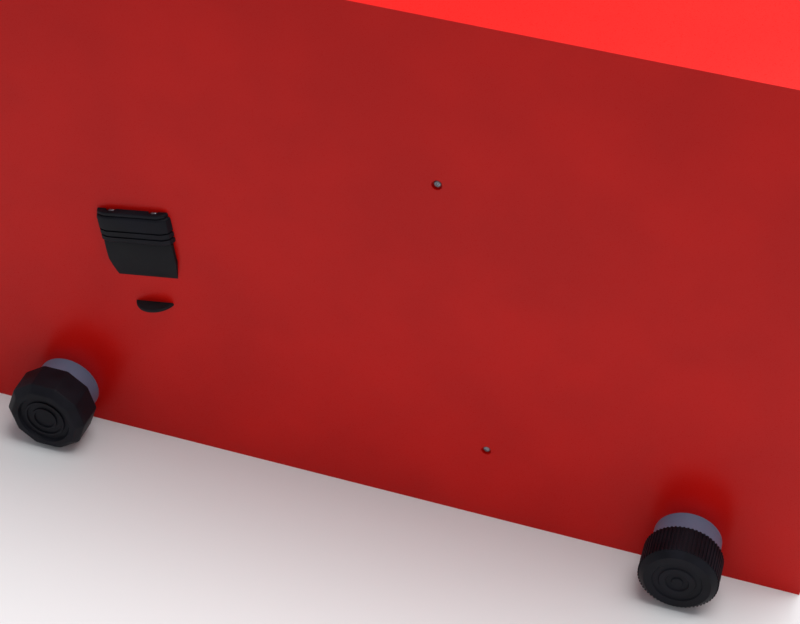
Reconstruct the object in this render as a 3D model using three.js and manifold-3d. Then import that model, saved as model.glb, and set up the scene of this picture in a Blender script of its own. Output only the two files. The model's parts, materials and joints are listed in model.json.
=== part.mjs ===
// Pedal exerciser: the floor frame, magnetic drive and pedals of a compact exercise bike.
// Millimetres, +Z up, +X towards the front post, +Y to the rider's left.
// The origin is on the floor, under the middle of the base.
import * as THREE from 'three';
import { mergeVertices } from 'three/addons/utils/BufferGeometryUtils.js';
import Module from 'manifold-3d';

const wasm = await Module();
wasm.setup();

// ---------------------------------------------------------------- driving dimensions
const gap = 0.3; // air left between two pieces that touch
const big = 600; // long enough to cut right through the object

const base = { rearX: -295.5, frontX: 292.5, z: 35, tubeR: 30, wall: 2, half: 246 };
const cap = { inner: 221, outer: 255, floor: 248, r: 35, raise: 1.3 };
const beam = { width: 70, low: 27, top: 59, wall: 2 };
const saddle = { thick: 3, half: 72, sweep: THREE.MathUtils.degToRad(72) };
const bolt = { r: 4, y: 52, hole: 4.3, end: 46 };

const crankAxis = { x: 53.6, z: 245 };
const crank = { radius: 162, rodR: 8.5, armY: 99, bend: 20, eyeR: 14, eyeHalf: 10 };
const seat = { x: -107.8, z: 374, lean: THREE.MathUtils.degToRad(-12.8), r: 25, wall: 2, top: 431 };
const post = { x: 213.2, z: 314, lean: THREE.MathUtils.degToRad(14.8), r: 27, wall: 2, top: 396 };
const knobZ = 396; // height on the seat tube's axis that the plunger points at

const cover = { half: 62, wall: 3, round: 14, tailRound: 50, recess: 2.5, seam: 0.15 };
const collar = { top: -25.6, r: 28, seat: 374 }; // the red cover's neck round the seat tube
const pedal = { inner: 111, outer: 208, halfX: 35, top: 12.5, plate: 3.5, low: -18, tilt: 10 };
const strap = { low: -88, thick: 4, topHalf: 32, lowHalf: 22 };

const flywheel = { x: 63.2, z: 131, r: 65, half: 10, axleR: 5 };
const drive = { r: 85, flywheelR: 20, idlerR: 14, y: -18, half: 5, belt: 2.5, beltHalf: 4 };
const idler = { x: 128, z: 172 };
const fork = { leftY: 15.5, rightY: -32.5, thick: 3, top: 152 };

// ---------------------------------------------------------------- finishes
const finish = (color, roughness, metalness) => (
  new THREE.MeshStandardMaterial({ color, roughness, metalness })
);
const bluePaint = finish(0x7188a6, 0.38, 0.35);
const redCover = finish(0xc4160f, 0.35, 0);
const greyCover = finish(0x6b6b74, 0.42, 0.35);
const blackPlastic = finish(0x1a1b22, 0.5, 0);
const blackRubber = finish(0x141317, 0.75, 0);
const chrome = finish(0xd8dade, 0.12, 1);
const zinc = finish(0xb9bcc2, 0.3, 1);
const castIron = finish(0x4a4c50, 0.55, 1);
const steel = finish(0x8c9096, 0.35, 1);

// ---------------------------------------------------------------- helpers
const X = new THREE.Vector3(1, 0, 0);
const Y = new THREE.Vector3(0, 1, 0);
const v2 = (x, y) => new THREE.Vector2(x, y);
const v3 = (x, y, z) => new THREE.Vector3(x, y, z);

// A closed geometry as a solid for joining and cutting, and back again.
function solid(geometry) {
  const bare = geometry.clone();
  bare.deleteAttribute('normal');
  bare.deleteAttribute('uv');
  const merged = mergeVertices(bare, 1e-3);
  const corners = [];
  const index = merged.index.array;
  for (let i = 0; i < index.length; i += 3) {
    const [a, b, c] = index.slice(i, i + 3);
    if (a !== b && b !== c && c !== a) corners.push(a, b, c);
  }
  const mesh = new wasm.Mesh({
    numProp: 3,
    vertProperties: Float32Array.from(merged.attributes.position.array),
    triVerts: Uint32Array.from(corners),
  });
  return new wasm.Manifold(mesh);
}

function geometryOf(manifold) {
  const { vertProperties, triVerts } = manifold.getMesh();
  const geometry = new THREE.BufferGeometry();
  geometry.setAttribute('position', new THREE.BufferAttribute(vertProperties, 3));
  geometry.setIndex(new THREE.BufferAttribute(triVerts, 1));
  geometry.computeVertexNormals();
  return geometry;
}

// Turns a geometry made about +Y so that it lies along another direction, centred on a place.
function along(geometry, direction, place) {
  geometry.applyQuaternion(new THREE.Quaternion().setFromUnitVectors(Y, direction.clone().normalize()));
  return geometry.translate(place.x, place.y, place.z);
}

const rod = (r, length, sides = 20) => new THREE.CylinderGeometry(r, r, length, sides);

// A round piece from its half profile, drawn from the low inner corner outwards and up.
function turned(profile, sides = 24) {
  return new THREE.LatheGeometry(profile.map(([r, y]) => v2(r, y)), sides);
}

// A hollow round piece between two heights.
function sleeve(outer, inner, low, high, sides = 24) {
  return turned([[inner, low], [outer, low], [outer, high], [inner, high], [inner, low]], sides);
}

// A side-view shape (x, z) made solid across Y; grow moves its edge out, or in when negative.
function slab(shape, low, high, grow = 0, segments = 3) {
  const skin = 0.01;
  const geometry = new THREE.ExtrudeGeometry(shape, {
    depth: high - low - 2 * skin,
    curveSegments: segments,
    bevelEnabled: true,
    bevelThickness: skin,
    bevelSize: 0,
    bevelOffset: grow,
    bevelSegments: 1,
  });
  return geometry.rotateX(Math.PI / 2).translate(0, high - skin, 0);
}

function box(x0, x1, y0, y1, z0, z1) {
  const geometry = new THREE.BoxGeometry(x1 - x0, y1 - y0, z1 - z0);
  return geometry.translate((x0 + x1) / 2, (y0 + y1) / 2, (z0 + z1) / 2);
}

const part = new THREE.Group();

function add(name, shape, material) {
  const geometry = shape instanceof THREE.BufferGeometry ? shape : geometryOf(shape);
  const mesh = new THREE.Mesh(geometry, material);
  mesh.name = name;
  part.add(mesh);
  return mesh;
}

// A point on a leaning tube's axis, and the tube's own upward direction.
const leanDirection = (tube) => v3(Math.sin(tube.lean), 0, Math.cos(tube.lean));
const axisX = (tube, z) => tube.x + Math.tan(tube.lean) * (z - tube.z);

// A leaning tube from the beam's top to its own top, cut flat where it stands on the beam.
function leaningTube(tube, outer, inner) {
  const direction = leanDirection(tube);
  const up = (tube.top - tube.z) / Math.cos(tube.lean);
  const down = (beam.top - 40 - tube.z) / Math.cos(tube.lean);
  const filled = [[0, down], [outer, down], [outer, up], [0, up]];
  const geometry = inner > 0 ? sleeve(outer, inner, down, up) : turned(filled);
  return solid(along(geometry, direction, v3(tube.x, 0, tube.z)));
}

// ---------------------------------------------------------------- base frame
function mainBeam() {
  const end = base.tubeR + saddle.thick + 2 * gap;
  const [x0, x1] = [base.rearX + end, base.frontX - end];
  const half = beam.width / 2;
  const outer = solid(box(x0, x1, -half, half, beam.low, beam.top));
  const t = beam.wall;
  return outer.subtract(solid(box(x0 - 1, x1 + 1, -half + t, half - t, beam.low + t, beam.top - t)));
}

// The half-round plate on the beam's end that hugs a stabiliser; facing is +1 or -1 along X.
function saddlePlate(x, facing) {
  const inner = base.tubeR + gap;
  const outer = inner + saddle.thick;
  const middle = facing > 0 ? 0 : Math.PI;
  const shape = new THREE.Shape();
  shape.absarc(x, base.z, outer, middle - saddle.sweep, middle + saddle.sweep, false);
  shape.absarc(x, base.z, inner, middle + saddle.sweep, middle - saddle.sweep, true);
  shape.closePath();
  const plate = solid(slab(shape, -saddle.half, saddle.half, 0, 8));
  return boltHoles(plate, x);
}

function boltHoles(piece, x) {
  let result = piece;
  for (const y of [-bolt.y, bolt.y]) {
    result = result.subtract(solid(along(rod(bolt.hole, 120, 10), X, v3(x, y, base.z))));
  }
  return result;
}

function stabiliserTube(x) {
  const tube = sleeve(base.tubeR, base.tubeR - base.wall, -base.half, base.half, 28);
  return boltHoles(solid(tube.translate(x, 0, base.z)), x);
}

// A carriage bolt through a stabiliser: domed head outside, threaded end towards the beam.
function carriageBolt(x, facing, y) {
  const head = base.tubeR + gap;
  const { end } = bolt;
  const profile = [[0, -head - 5], [5, -head - 4], [8.5, -head - 1.5], [8.5, -head], [bolt.r, -head],
    [bolt.r, end], [0, end]];
  return along(turned(profile, 12), v3(facing, 0, 0), v3(x, y, base.z));
}

// A washer and domed nut in one piece, screwed against the saddle plate.
function domedNut(x, facing, y) {
  const seatX = base.tubeR + saddle.thick + 2 * gap;
  const washer = solid(rod(10, 1.6, 12).translate(0, seatX + 0.8, 0));
  const hex = solid(rod(7.6, 6.5, 6).translate(0, seatX + 4.75, 0));
  const dome = solid(turned([[0, seatX + 7], [6.4, seatX + 7], [5.4, seatX + 12.5], [0, seatX + 15.5]], 12));
  const thread = solid(rod(bolt.r + gap, 2 * (bolt.end - seatX + gap), 12).translate(0, seatX, 0));
  const body = washer.add(hex).add(dome).subtract(thread);
  return along(geometryOf(body), v3(facing, 0, 0), v3(x, y, base.z));
}

for (const [end, x, facing] of [['rear', base.rearX, 1], ['front', base.frontX, -1]]) {
  add(`${end}_saddle_plate`, saddlePlate(x, facing), bluePaint);
  add(`${end}_stabiliser_tube`, stabiliserTube(x), bluePaint);
  for (const [side, sign] of [['left', 1], ['right', -1]]) {
    add(`${end}_bolt_${side}`, carriageBolt(x, facing, sign * bolt.y), zinc);
    add(`${end}_nut_${side}`, domedNut(x, facing, sign * bolt.y), zinc);
  }
}
add('main_beam', mainBeam(), bluePaint);

// ---------------------------------------------------------------- stabiliser end caps
// The cap's socket over the tube's end.
function socketOf(x) {
  const length = cap.floor - cap.inner + 5;
  const bore = rod(base.tubeR + gap, length, 28).translate(x, cap.floor - length / 2, base.z);
  return solid(bore);
}

// Rear caps are round, turned with thirty narrow faces so that one of them lies on the floor.
function rearCap() {
  const sides = 30;
  const r = cap.r / Math.cos(Math.PI / sides);
  const profile = [[0, cap.inner], [r, cap.inner], [r, cap.outer - 4], [r - 4, cap.outer], [0, cap.outer]];
  const geometry = turned(profile, sides).rotateY(Math.PI / sides);
  return solid(geometry.translate(base.rearX, 0, base.z)).subtract(socketOf(base.rearX));
}

// Front caps level the bike: ten flats round a socket that is off their centre.
function frontCap() {
  const sides = 10;
  const across = cap.r + cap.raise;
  const r = across / Math.cos(Math.PI / sides);
  const profile = [[0, cap.inner], [r - 1.5, cap.inner], [r, cap.inner + 1.5], [r, cap.outer - 5],
    [r - 6, cap.outer], [26, cap.outer], [24, cap.outer - 3], [0, cap.outer - 3]];
  const geometry = turned(profile, sides).rotateY(Math.PI / sides);
  return solid(geometry.translate(base.frontX, 0, base.z + cap.raise)).subtract(socketOf(base.frontX));
}

const mirrored = (manifold) => manifold.mirror([0, 1, 0]);
for (const [name, make] of [['rear', rearCap], ['front', frontCap]]) {
  const piece = make();
  add(`${name}_cap_left`, piece, blackPlastic);
  add(`${name}_cap_right`, mirrored(piece), blackPlastic);
}

// ---------------------------------------------------------------- seat tube and front post
const overBeam = solid(box(-big, big, -big, big, beam.top + gap, big));

function seatTube() {
  const tube = leaningTube(seat, seat.r, seat.r - seat.wall).intersect(overBeam);
  return tube.subtract(plungerHole(7));
}

function frontPost() {
  const tube = leaningTube(post, post.r, post.r - post.wall).intersect(overBeam);
  const hole = rod(5, 4 * post.r, 16);
  const across = v3(Math.cos(post.lean), 0, -Math.sin(post.lean));
  return tube.subtract(solid(along(hole, across, v3(axisX(post, 363), 0, 363))));
}

// The plastic bushing in the seat tube's mouth, with the flange that rests on its rim.
function seatBushing() {
  const rim = (seat.top - seat.z) / Math.cos(seat.lean) + gap;
  const bore = 19.3;
  const skirt = seat.r - seat.wall - gap;
  const profile = [[bore, rim - 22], [skirt, rim - 22], [skirt, rim], [31, rim], [31, rim + 8],
    [28, rim + 11], [bore, rim + 11], [bore, rim - 22]];
  return along(turned(profile, 24), leanDirection(seat), v3(seat.x, 0, seat.z));
}

add('seat_tube', seatTube(), bluePaint);
add('seat_tube_bushing', seatBushing(), blackPlastic);
add('front_post', frontPost(), bluePaint);

// ---------------------------------------------------------------- seat height plunger
// Distances below run outwards from the seat tube's axis, square to it, towards the rear.
function outwards() {
  return v3(-Math.cos(seat.lean), 0, Math.sin(seat.lean));
}

function onPlunger(geometry) {
  return along(geometry, outwards(), v3(axisX(seat, knobZ), 0, knobZ));
}

function plungerHole(r) {
  return solid(onPlunger(rod(r, 40, 16).translate(0, 30, 0)));
}

// A threaded boss welded to the tube: round at its root, six-sided at its end.
function knobBoss() {
  const root = solid(onPlunger(turned([[0, 20], [12, 20], [12, 33], [0, 33]], 16)));
  const hex = solid(onPlunger(turned([[0, 32.5], [13.5, 32.5], [13.5, 47], [0, 47]], 6)));
  const bore = solid(onPlunger(turned([[0, 10], [7.8, 10], [7.8, 43], [4.6, 43], [4.6, 60], [0, 60]], 16)));
  const tube = leaningTube(seat, seat.r + gap, 0);
  return root.add(hex).subtract(bore).subtract(tube);
}

// The pin: nose inside the tube, a collar for its spring, and a shank out to the knob.
function plungerPin() {
  const profile = [[0, 15], [4, 15.5], [5, 18], [5, 30], [7, 30], [7, 32], [4, 32], [4, 66], [0, 66]];
  return onPlunger(turned(profile, 16));
}

class Helix extends THREE.Curve {
  constructor(r, low, high, turns) {
    super();
    Object.assign(this, { r, low, high, turns });
  }

  getPoint(t) {
    const angle = t * this.turns * 2 * Math.PI;
    return v3(this.r * Math.cos(angle), this.low + t * (this.high - this.low), this.r * Math.sin(angle));
  }
}

function wireSpring(r, wire, low, high, turns) {
  const section = new THREE.Shape();
  section.absarc(0, 0, wire, 0, 2 * Math.PI, false);
  const steps = turns * 8;
  const extrudePath = new Helix(r, low, high, turns);
  return new THREE.ExtrudeGeometry(section, { steps, extrudePath, curveSegments: 2, bevelEnabled: false });
}

// Six soft lobes round a disc, with a bore for the pin's shank.
function selectorKnob() {
  const [low, high] = [50, 69];
  const lobes = 6;
  const shape = new THREE.Shape();
  const points = 48;
  for (let i = 0; i < points; i += 1) {
    const angle = (i / points) * 2 * Math.PI;
    const r = 24 + 1.6 * Math.cos(lobes * angle);
    shape[i ? 'lineTo' : 'moveTo'](r * Math.cos(angle), r * Math.sin(angle));
  }
  const round = 3;
  const options = { depth: high - low - 2 * round, bevelThickness: round, bevelSize: round,
    bevelOffset: -round, bevelSegments: 1 };
  const disc = new THREE.ExtrudeGeometry(shape, options);
  disc.translate(0, 0, low + options.bevelThickness).rotateX(-Math.PI / 2);
  const bore = rod(4 + gap, 34, 12).translate(0, 49.3, 0);
  return solid(onPlunger(disc)).subtract(solid(onPlunger(bore)));
}

add('knob_boss', knobBoss(), zinc);
add('plunger_pin', plungerPin(), chrome);
add('knob_spring', onPlunger(wireSpring(5.7, 0.6, 33.2, 42.4, 5)), steel);
add('selector_knob', selectorKnob(), blackPlastic);

// ---------------------------------------------------------------- crank shell and its braces
const shell = { r: 20, inner: 17, low: -7, high: 40 };

function crankShell() {
  return sleeve(shell.r, shell.inner, shell.low, shell.high).translate(crankAxis.x, 0, crankAxis.z);
}

// Bearing cups press into the shell's ends; the crank turns in their bores.
function bearingCup(side) {
  const bore = crank.rodR + 0.2;
  const profile = [[bore, -12], [shell.inner - gap, -12], [shell.inner - gap, gap], [shell.r, gap],
    [shell.r, 3.5], [bore, 3.5], [bore, -12]];
  const y = side > 0 ? shell.high : shell.low;
  return along(turned(profile, 20), v3(0, side, 0), v3(crankAxis.x, y, crankAxis.z));
}

// A square tube between the crank shell and one of the two leaning tubes.
function brace(x0, x1, tube, outer) {
  const piece = solid(box(x0, x1, -4, 20, crankAxis.z - 13, crankAxis.z + 13));
  const shellCut = solid(rod(shell.r + gap, 200, 32).translate(crankAxis.x, 0, crankAxis.z));
  return piece.subtract(shellCut).subtract(leaningTube(tube, outer + gap, 0));
}

add('crank_shell', crankShell(), bluePaint);
add('bearing_cup_left', bearingCup(1), steel);
add('bearing_cup_right', bearingCup(-1), steel);
const seatX = axisX(seat, crankAxis.z) + seat.r * 0.6;
const postX = axisX(post, crankAxis.z) - post.r * 0.6;
add('rear_brace', brace(seatX, crankAxis.x - 10, seat, seat.r), bluePaint);
add('front_brace', brace(crankAxis.x + 10, postX, post, post.r), bluePaint);

// ---------------------------------------------------------------- crank, discs, hub nuts
// A path stepped point by point, so that its long straights take one step each.
class StepPath extends THREE.Curve {
  constructor(points) {
    super();
    this.points = points;
  }

  getUtoTmapping(u) {
    return u;
  }

  getPoint(t) {
    const last = this.points.length - 1;
    const i = Math.min(Math.floor(t * last), last - 1);
    return this.points[i].clone().lerp(this.points[i + 1], t * last - i);
  }
}

function crankPath() {
  const { radius, armY, bend } = crank;
  const half = [v3(radius, armY, 0)];
  for (let i = 0; i <= 6; i += 1) {
    const angle = (i / 6) * (Math.PI / 2);
    half.push(v3(bend * (1 - Math.sin(angle)), armY - bend * (1 - Math.cos(angle)), 0));
  }
  const other = half.map((p) => v3(-p.x, -p.y, 0)).reverse();
  return new StepPath([...half, ...other].map((p) => p.add(v3(crankAxis.x, 0, crankAxis.z))));
}

// One bent rod makes both arms and the axle; an eye at each end takes a pedal's spindle.
function crankRod() {
  const section = new THREE.Shape();
  section.absarc(0, 0, crank.rodR, 0, 2 * Math.PI, false);
  const extrudePath = crankPath();
  const steps = extrudePath.points.length - 1;
  const options = { steps, extrudePath, curveSegments: 6, bevelEnabled: false };
  let body = solid(new THREE.ExtrudeGeometry(section, options));
  for (const side of [1, -1]) {
    const place = v3(crankAxis.x + side * crank.radius, side * crank.armY, crankAxis.z);
    body = body.add(solid(along(rod(crank.eyeR, 2 * crank.eyeHalf, 28), Y, place)));
    body = body.subtract(solid(along(rod(7 + gap, 60, 16), Y, place)));
  }
  return body;
}

// The dished disc that covers the housing's hole, and the nut that holds it.
function hubDisc(side) {
  const bore = crank.rodR + gap;
  const profile = [[bore, 63], [30, 63], [36, 64.5], [36, 67.5], [33, 69.6], [bore, 69.6], [bore, 63]];
  return along(turned(profile, 24), v3(0, side, 0), v3(crankAxis.x, 0, crankAxis.z));
}

function hubNut(side) {
  const place = v3(crankAxis.x, 0, crankAxis.z);
  const profile = [[0, 69.9], [15.5, 69.9], [15.5, 76.5], [13.5, 78.5], [0, 78.5]];
  const bore = solid(along(rod(crank.rodR + gap, 200), Y, place));
  return solid(along(turned(profile, 6), v3(0, side, 0), place)).subtract(bore);
}

add('crank', crankRod(), chrome);
for (const [side, sign] of [['left', 1], ['right', -1]]) {
  add(`hub_disc_${side}`, hubDisc(sign), blackPlastic);
  add(`hub_nut_${side}`, hubNut(sign), blackPlastic);
}

// ---------------------------------------------------------------- belt drive
// A pulley of the given radius, with low flanges and lightening holes when it is large.
function pulley(r, bore, holes = 0) {
  const { y, half } = drive;
  const lip = r > 50 ? 2 : 1.2;
  const profile = [[bore, y - half], [r + lip, y - half], [r + lip, y - half + 0.6], [r, y - half + 0.6],
    [r, y + half - 0.6], [r + lip, y + half - 0.6], [r + lip, y + half], [bore, y + half], [bore, y - half]];
  let body = solid(turned(profile, r > 50 ? 36 : 16));
  for (let i = 0; i < holes; i += 1) {
    const angle = (i / holes) * 2 * Math.PI;
    const place = v3(r * 0.6 * Math.cos(angle), y, r * 0.6 * Math.sin(angle));
    body = body.subtract(solid(along(rod(r * 0.2, 40, 10), Y, place)));
  }
  return geometryOf(body);
}

// The line of a belt round three pulleys. A radius is negative where the belt's back is pressed.
function beltLine(pulleys, offset) {
  const points = [];
  const normals = pulleys.map((from, i) => {
    const to = pulleys[(i + 1) % pulleys.length];
    const run = v2(to.x - from.x, to.z - from.z);
    const cosine = (from.r - to.r) / run.length();
    const e = run.clone().normalize();
    const right = v2(e.y, -e.x);
    return e.multiplyScalar(cosine).add(right.multiplyScalar(Math.sqrt(1 - cosine * cosine)));
  });
  pulleys.forEach((wheel, i) => {
    const into = normals[(i + pulleys.length - 1) % pulleys.length].angle();
    let turn = normals[i].angle() - into;
    if (wheel.r > 0 && turn < 0) turn += 2 * Math.PI;
    if (wheel.r < 0 && turn > 0) turn -= 2 * Math.PI;
    const steps = Math.max(3, Math.ceil(Math.abs(turn) / 0.17));
    for (let k = 0; k <= steps; k += 1) {
      const angle = into + (turn * k) / steps;
      const r = wheel.r + offset;
      points.push(v2(wheel.x + r * Math.cos(angle), wheel.z + r * Math.sin(angle)));
    }
  });
  return points;
}

function driveBelt() {
  const ease = 0.45;
  const wheels = [
    { x: crankAxis.x, z: crankAxis.z, r: drive.r + ease },
    { x: flywheel.x, z: flywheel.z, r: drive.flywheelR + ease },
    { x: idler.x, z: idler.z, r: -drive.idlerR - ease - drive.belt },
  ];
  const shape = new THREE.Shape(beltLine(wheels, drive.belt));
  shape.holes.push(new THREE.Path(beltLine(wheels, 0)));
  return slab(shape, drive.y - drive.beltHalf, drive.y + drive.beltHalf);
}

const at = (geometry, place) => geometry.translate(place.x, 0, place.z);
add('drive_pulley', at(pulley(drive.r, crank.rodR + gap, 5), crankAxis), blackPlastic);
add('flywheel_pulley', at(pulley(drive.flywheelR, flywheel.axleR + gap), flywheel), steel);
add('idler_pulley', at(pulley(drive.idlerR, 4.3), idler), blackPlastic);
add('drive_belt', driveBelt(), blackRubber);

// ---------------------------------------------------------------- flywheel, fork and brake
function flywheelWheel() {
  const { r, half, axleR } = flywheel;
  const bore = axleR + gap;
  const low = drive.y + drive.half + gap;
  const profile = [[bore, low], [16, low], [16, -4], [44, -4], [44, -half], [r, -half], [r, half], [44, half],
    [44, 4], [16, 4], [16, 12], [bore, 12], [bore, low]];
  return turned(profile, 28);
}

// A fork plate stands on the beam and carries one end of the flywheel's axle.
function forkPlate(y) {
  const shape = new THREE.Shape();
  shape.moveTo(flywheel.x - 30, beam.top + gap);
  shape.lineTo(flywheel.x + 30, beam.top + gap);
  shape.lineTo(flywheel.x + 18, fork.top - 18);
  shape.absarc(flywheel.x, fork.top - 18, 18, 0, Math.PI, false);
  shape.closePath();
  const bore = new THREE.Path();
  bore.absarc(flywheel.x, flywheel.z, flywheel.axleR + gap, 0, 2 * Math.PI, true);
  shape.holes.push(bore);
  return slab(shape, y - fork.thick / 2, y + fork.thick / 2, 0, 6);
}

function flywheelAxle() {
  const [low, high] = [fork.rightY - 12, fork.leftY + 12];
  return rod(flywheel.axleR, high - low, 20).translate(flywheel.x, (low + high) / 2, flywheel.z);
}

// The idler's arm is bolted to the right fork plate and ends in the stud the idler turns on.
function idlerArm() {
  const face = fork.rightY + fork.thick / 2 + gap;
  const shape = new THREE.Shape();
  const [x0, z0] = [flywheel.x + 8, fork.top - 30];
  shape.absarc(x0, z0, 7, Math.PI * 0.75, Math.PI * 1.75, false);
  shape.absarc(idler.x, idler.z, 8, Math.PI * 1.75, Math.PI * 2.75, false);
  shape.closePath();
  const arm = solid(slab(shape, face, face + 4, 0, 6));
  const stud = solid(rod(4, 22, 16).translate(idler.x, face + 11, idler.z));
  const axleCut = solid(rod(flywheel.axleR + 1.5, 200, 20).translate(flywheel.x, 0, flywheel.z));
  return arm.add(stud).subtract(axleCut);
}

// The brake shoe: an arc of steel behind the flywheel that carries the magnets near its rim.
const brake = { low: Math.PI * 0.8, high: Math.PI * 1.12, inner: 72, outer: 76, half: 9 };

function arcShape(inner, outer, low, high) {
  const shape = new THREE.Shape();
  shape.absarc(flywheel.x, flywheel.z, outer, low, high, false);
  shape.absarc(flywheel.x, flywheel.z, inner, high, low, true);
  shape.closePath();
  return shape;
}

const brakePivot = { x: flywheel.x - 74 * Math.cos(Math.PI * 0.16), z: flywheel.z - 49 };

function brakeArm() {
  const curve = arcShape(brake.inner, brake.outer, brake.low, brake.high);
  const arc = solid(slab(curve, -brake.half, brake.half, 0, 5));
  const { x, z } = brakePivot;
  const eye = solid(rod(7, 2 * brake.half, 20).translate(x, 0, z));
  const web = solid(box(x - 5, x + 3, -brake.half, brake.half, z, z + 32));
  const bore = solid(rod(4 + gap, 60, 16).translate(x, 0, z));
  return arc.add(eye).add(web).subtract(bore).subtract(brakeClearance());
}

function brakeClearance() {
  return solid(rod(brake.inner, 100, 48).translate(flywheel.x, 0, flywheel.z));
}

function magnetStrip() {
  const shape = arcShape(brake.inner - gap - 4, brake.inner - gap, brake.low + 0.1, brake.high - 0.1);
  return slab(shape, -brake.half + 1, brake.half - 1, 0, 6);
}

// A pin across two ears that stand on the beam: the brake arm swings on it.
function brakeMount() {
  const { x, z } = brakePivot;
  const pin = solid(rod(4, 34, 16).translate(x, 0, z));
  let mount = pin;
  for (const side of [1, -1]) {
    const ear = box(x - 8, x + 8, side > 0 ? 12 : -15, side > 0 ? 15 : -12, beam.top + gap, z + 8);
    mount = mount.add(solid(ear));
  }
  return mount.add(solid(box(x - 8, x + 8, -15, 15, beam.top + gap, beam.top + 3)));
}

add('flywheel', at(flywheelWheel(), flywheel), castIron);
add('flywheel_axle', flywheelAxle(), steel);
add('fork_plate_left', forkPlate(fork.leftY), steel);
add('fork_plate_right', forkPlate(fork.rightY), steel);
add('idler_arm', idlerArm(), steel);
add('brake_arm', brakeArm(), steel);
add('brake_magnets', magnetStrip(), castIron);
add('brake_mount', brakeMount(), steel);

// ---------------------------------------------------------------- pedals
const chamfered = (halfX, y0, y1, cut) => {
  const corners = [[-halfX + cut, y0], [halfX - cut, y0], [halfX, y0 + cut], [halfX + 1.5, (y0 + y1) / 2],
    [halfX, y1 - cut], [halfX - cut, y1], [-halfX + cut, y1], [-halfX, y1 - cut],
    [-halfX - 1.5, (y0 + y1) / 2], [-halfX, y0 + cut]];
  return new THREE.Shape(corners.map(([x, y]) => v2(x, y)));
};

function rounded(shape, low, high, edge) {
  const options = { depth: high - low - 2 * edge, bevelThickness: edge, bevelSize: edge, bevelOffset: -edge };
  return new THREE.ExtrudeGeometry(shape, { ...options, bevelSegments: 2 }).translate(0, 0, low + edge);
}

// Pedal pieces are made level about the spindle and then tilted; side is +1 left, -1 right.
function pedalPieces(side) {
  const { inner, outer, halfX, top, plate, low } = pedal;
  const block = rounded(chamfered(halfX, inner, outer, 9), low, top - plate - gap, 3);
  const bore = rod(8 + gap, outer - inner, 20).translate(0, (inner + outer) / 2 - 10, 0);
  const tread = rounded(chamfered(halfX - 1, inner + 1, outer - 1, 9), top - plate, top, 1);
  return { body: solid(block).subtract(solid(bore)), tread: solid(tread), strap: toeStrap() };
}

// A rubber loop under the pedal that holds the foot, wider at the top, with a loose end.
function toeStrap() {
  const { inner, outer, low: under } = pedal;
  const { low, thick, topHalf, lowHalf } = strap;
  const top = under - gap;
  const loop = (d) => {
    const [y0, y1, z0] = [inner + 4 + d, outer - 4 - d, low + d];
    const path = new THREE.Path();
    path.moveTo(y1, top - d);
    path.bezierCurveTo(y1 + 4, top - 34, y1 - 12, z0, (y0 + y1) / 2 + 8, z0);
    path.lineTo((y0 + y1) / 2 - 8, z0);
    path.bezierCurveTo(y0 + 12, z0, y0 - 4, top - 34, y0, top - d);
    return path.getPoints(8);
  };
  const shape = new THREE.Shape(loop(0).reverse());
  shape.holes.push(new THREE.Path(loop(thick)));
  const options = { depth: 2 * topHalf, bevelEnabled: false };
  // The profile is drawn in (y, z) and pushed along X.
  const turn = new THREE.Matrix4().makeBasis(v3(0, 1, 0), v3(0, 0, 1), v3(1, 0, 0));
  const band = new THREE.ExtrudeGeometry(shape, options).applyMatrix4(turn).translate(-topHalf, 0, 0);
  const taper = new THREE.Shape([v2(-topHalf, top + 1), v2(-topHalf, top - 20), v2(-lowHalf, low - 1),
    v2(lowHalf, low - 1), v2(topHalf, top - 20), v2(topHalf, top + 1)]);
  const cut = solid(slab(taper, inner - 10, outer + 10));
  const tongue = new THREE.Shape();
  tongue.moveTo(lowHalf - 3, (inner + outer) / 2);
  tongue.lineTo(lowHalf - 3, outer - 14);
  tongue.absarc(0, outer - 14, lowHalf - 3, 0, Math.PI, false);
  tongue.lineTo(3 - lowHalf, (inner + outer) / 2);
  const flap = new THREE.ExtrudeGeometry(tongue, { depth: 3, bevelEnabled: false });
  return solid(band).intersect(cut).add(solid(flap.translate(0, 0, low)));
}

function pedalSpindle() {
  const [shankR, spindleR] = [7, 8];
  const from = crank.armY - crank.eyeHalf + 1;
  const shoulder = crank.armY + crank.eyeHalf + gap;
  const end = pedal.outer - 22;
  const profile = [[0, from], [shankR, from], [shankR, shoulder], [spindleR, shoulder],
    [spindleR, end], [0, end]];
  return turned(profile, 16);
}

for (const [side, sign] of [['left', 1], ['right', -1]]) {
  const place = [crankAxis.x + sign * crank.radius, 0, crankAxis.z];
  const pieces = pedalPieces();
  const set = (manifold) => {
    const handed = sign > 0 ? manifold : mirrored(manifold);
    return handed.rotate([0, sign * pedal.tilt, 0]).translate(place);
  };
  add(`pedal_body_${side}`, set(pieces.body), blackPlastic);
  add(`pedal_tread_${side}`, set(pieces.tread), blackPlastic);
  add(`toe_strap_${side}`, set(pieces.strap), blackRubber);
  add(`pedal_spindle_${side}`, set(solid(pedalSpindle())), zinc);
}

// ---------------------------------------------------------------- housing covers
// The housing's side outline, clockwise from the rear end of its flat bottom edge.
function housingOutline() {
  const outline = new THREE.Shape();
  outline.moveTo(-112, 46.5);
  outline.splineThru([v2(-134, 57), v2(-148, 80), v2(-160, 115), v2(-167.5, 168), v2(-165, 223),
    v2(-159, 255), v2(-151, 280), v2(-141, 302), v2(-127, 322), v2(-108, 340), v2(-84, 351),
    v2(-60, 358), v2(-38, 363), v2(0, 364.5), v2(43, 361), v2(81, 354), v2(123, 340),
    v2(164, 317), v2(200, 285), v2(222, 258), v2(232, 225), v2(233, 190), v2(229, 140), v2(221, 90)]);
  outline.quadraticCurveTo(216, 62, 192, 61.5);
  outline.lineTo(85, 60.5);
  outline.bezierCurveTo(45, 60.5, 35, 46.5, 8, 46.5);
  outline.closePath();
  return outline;
}

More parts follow.
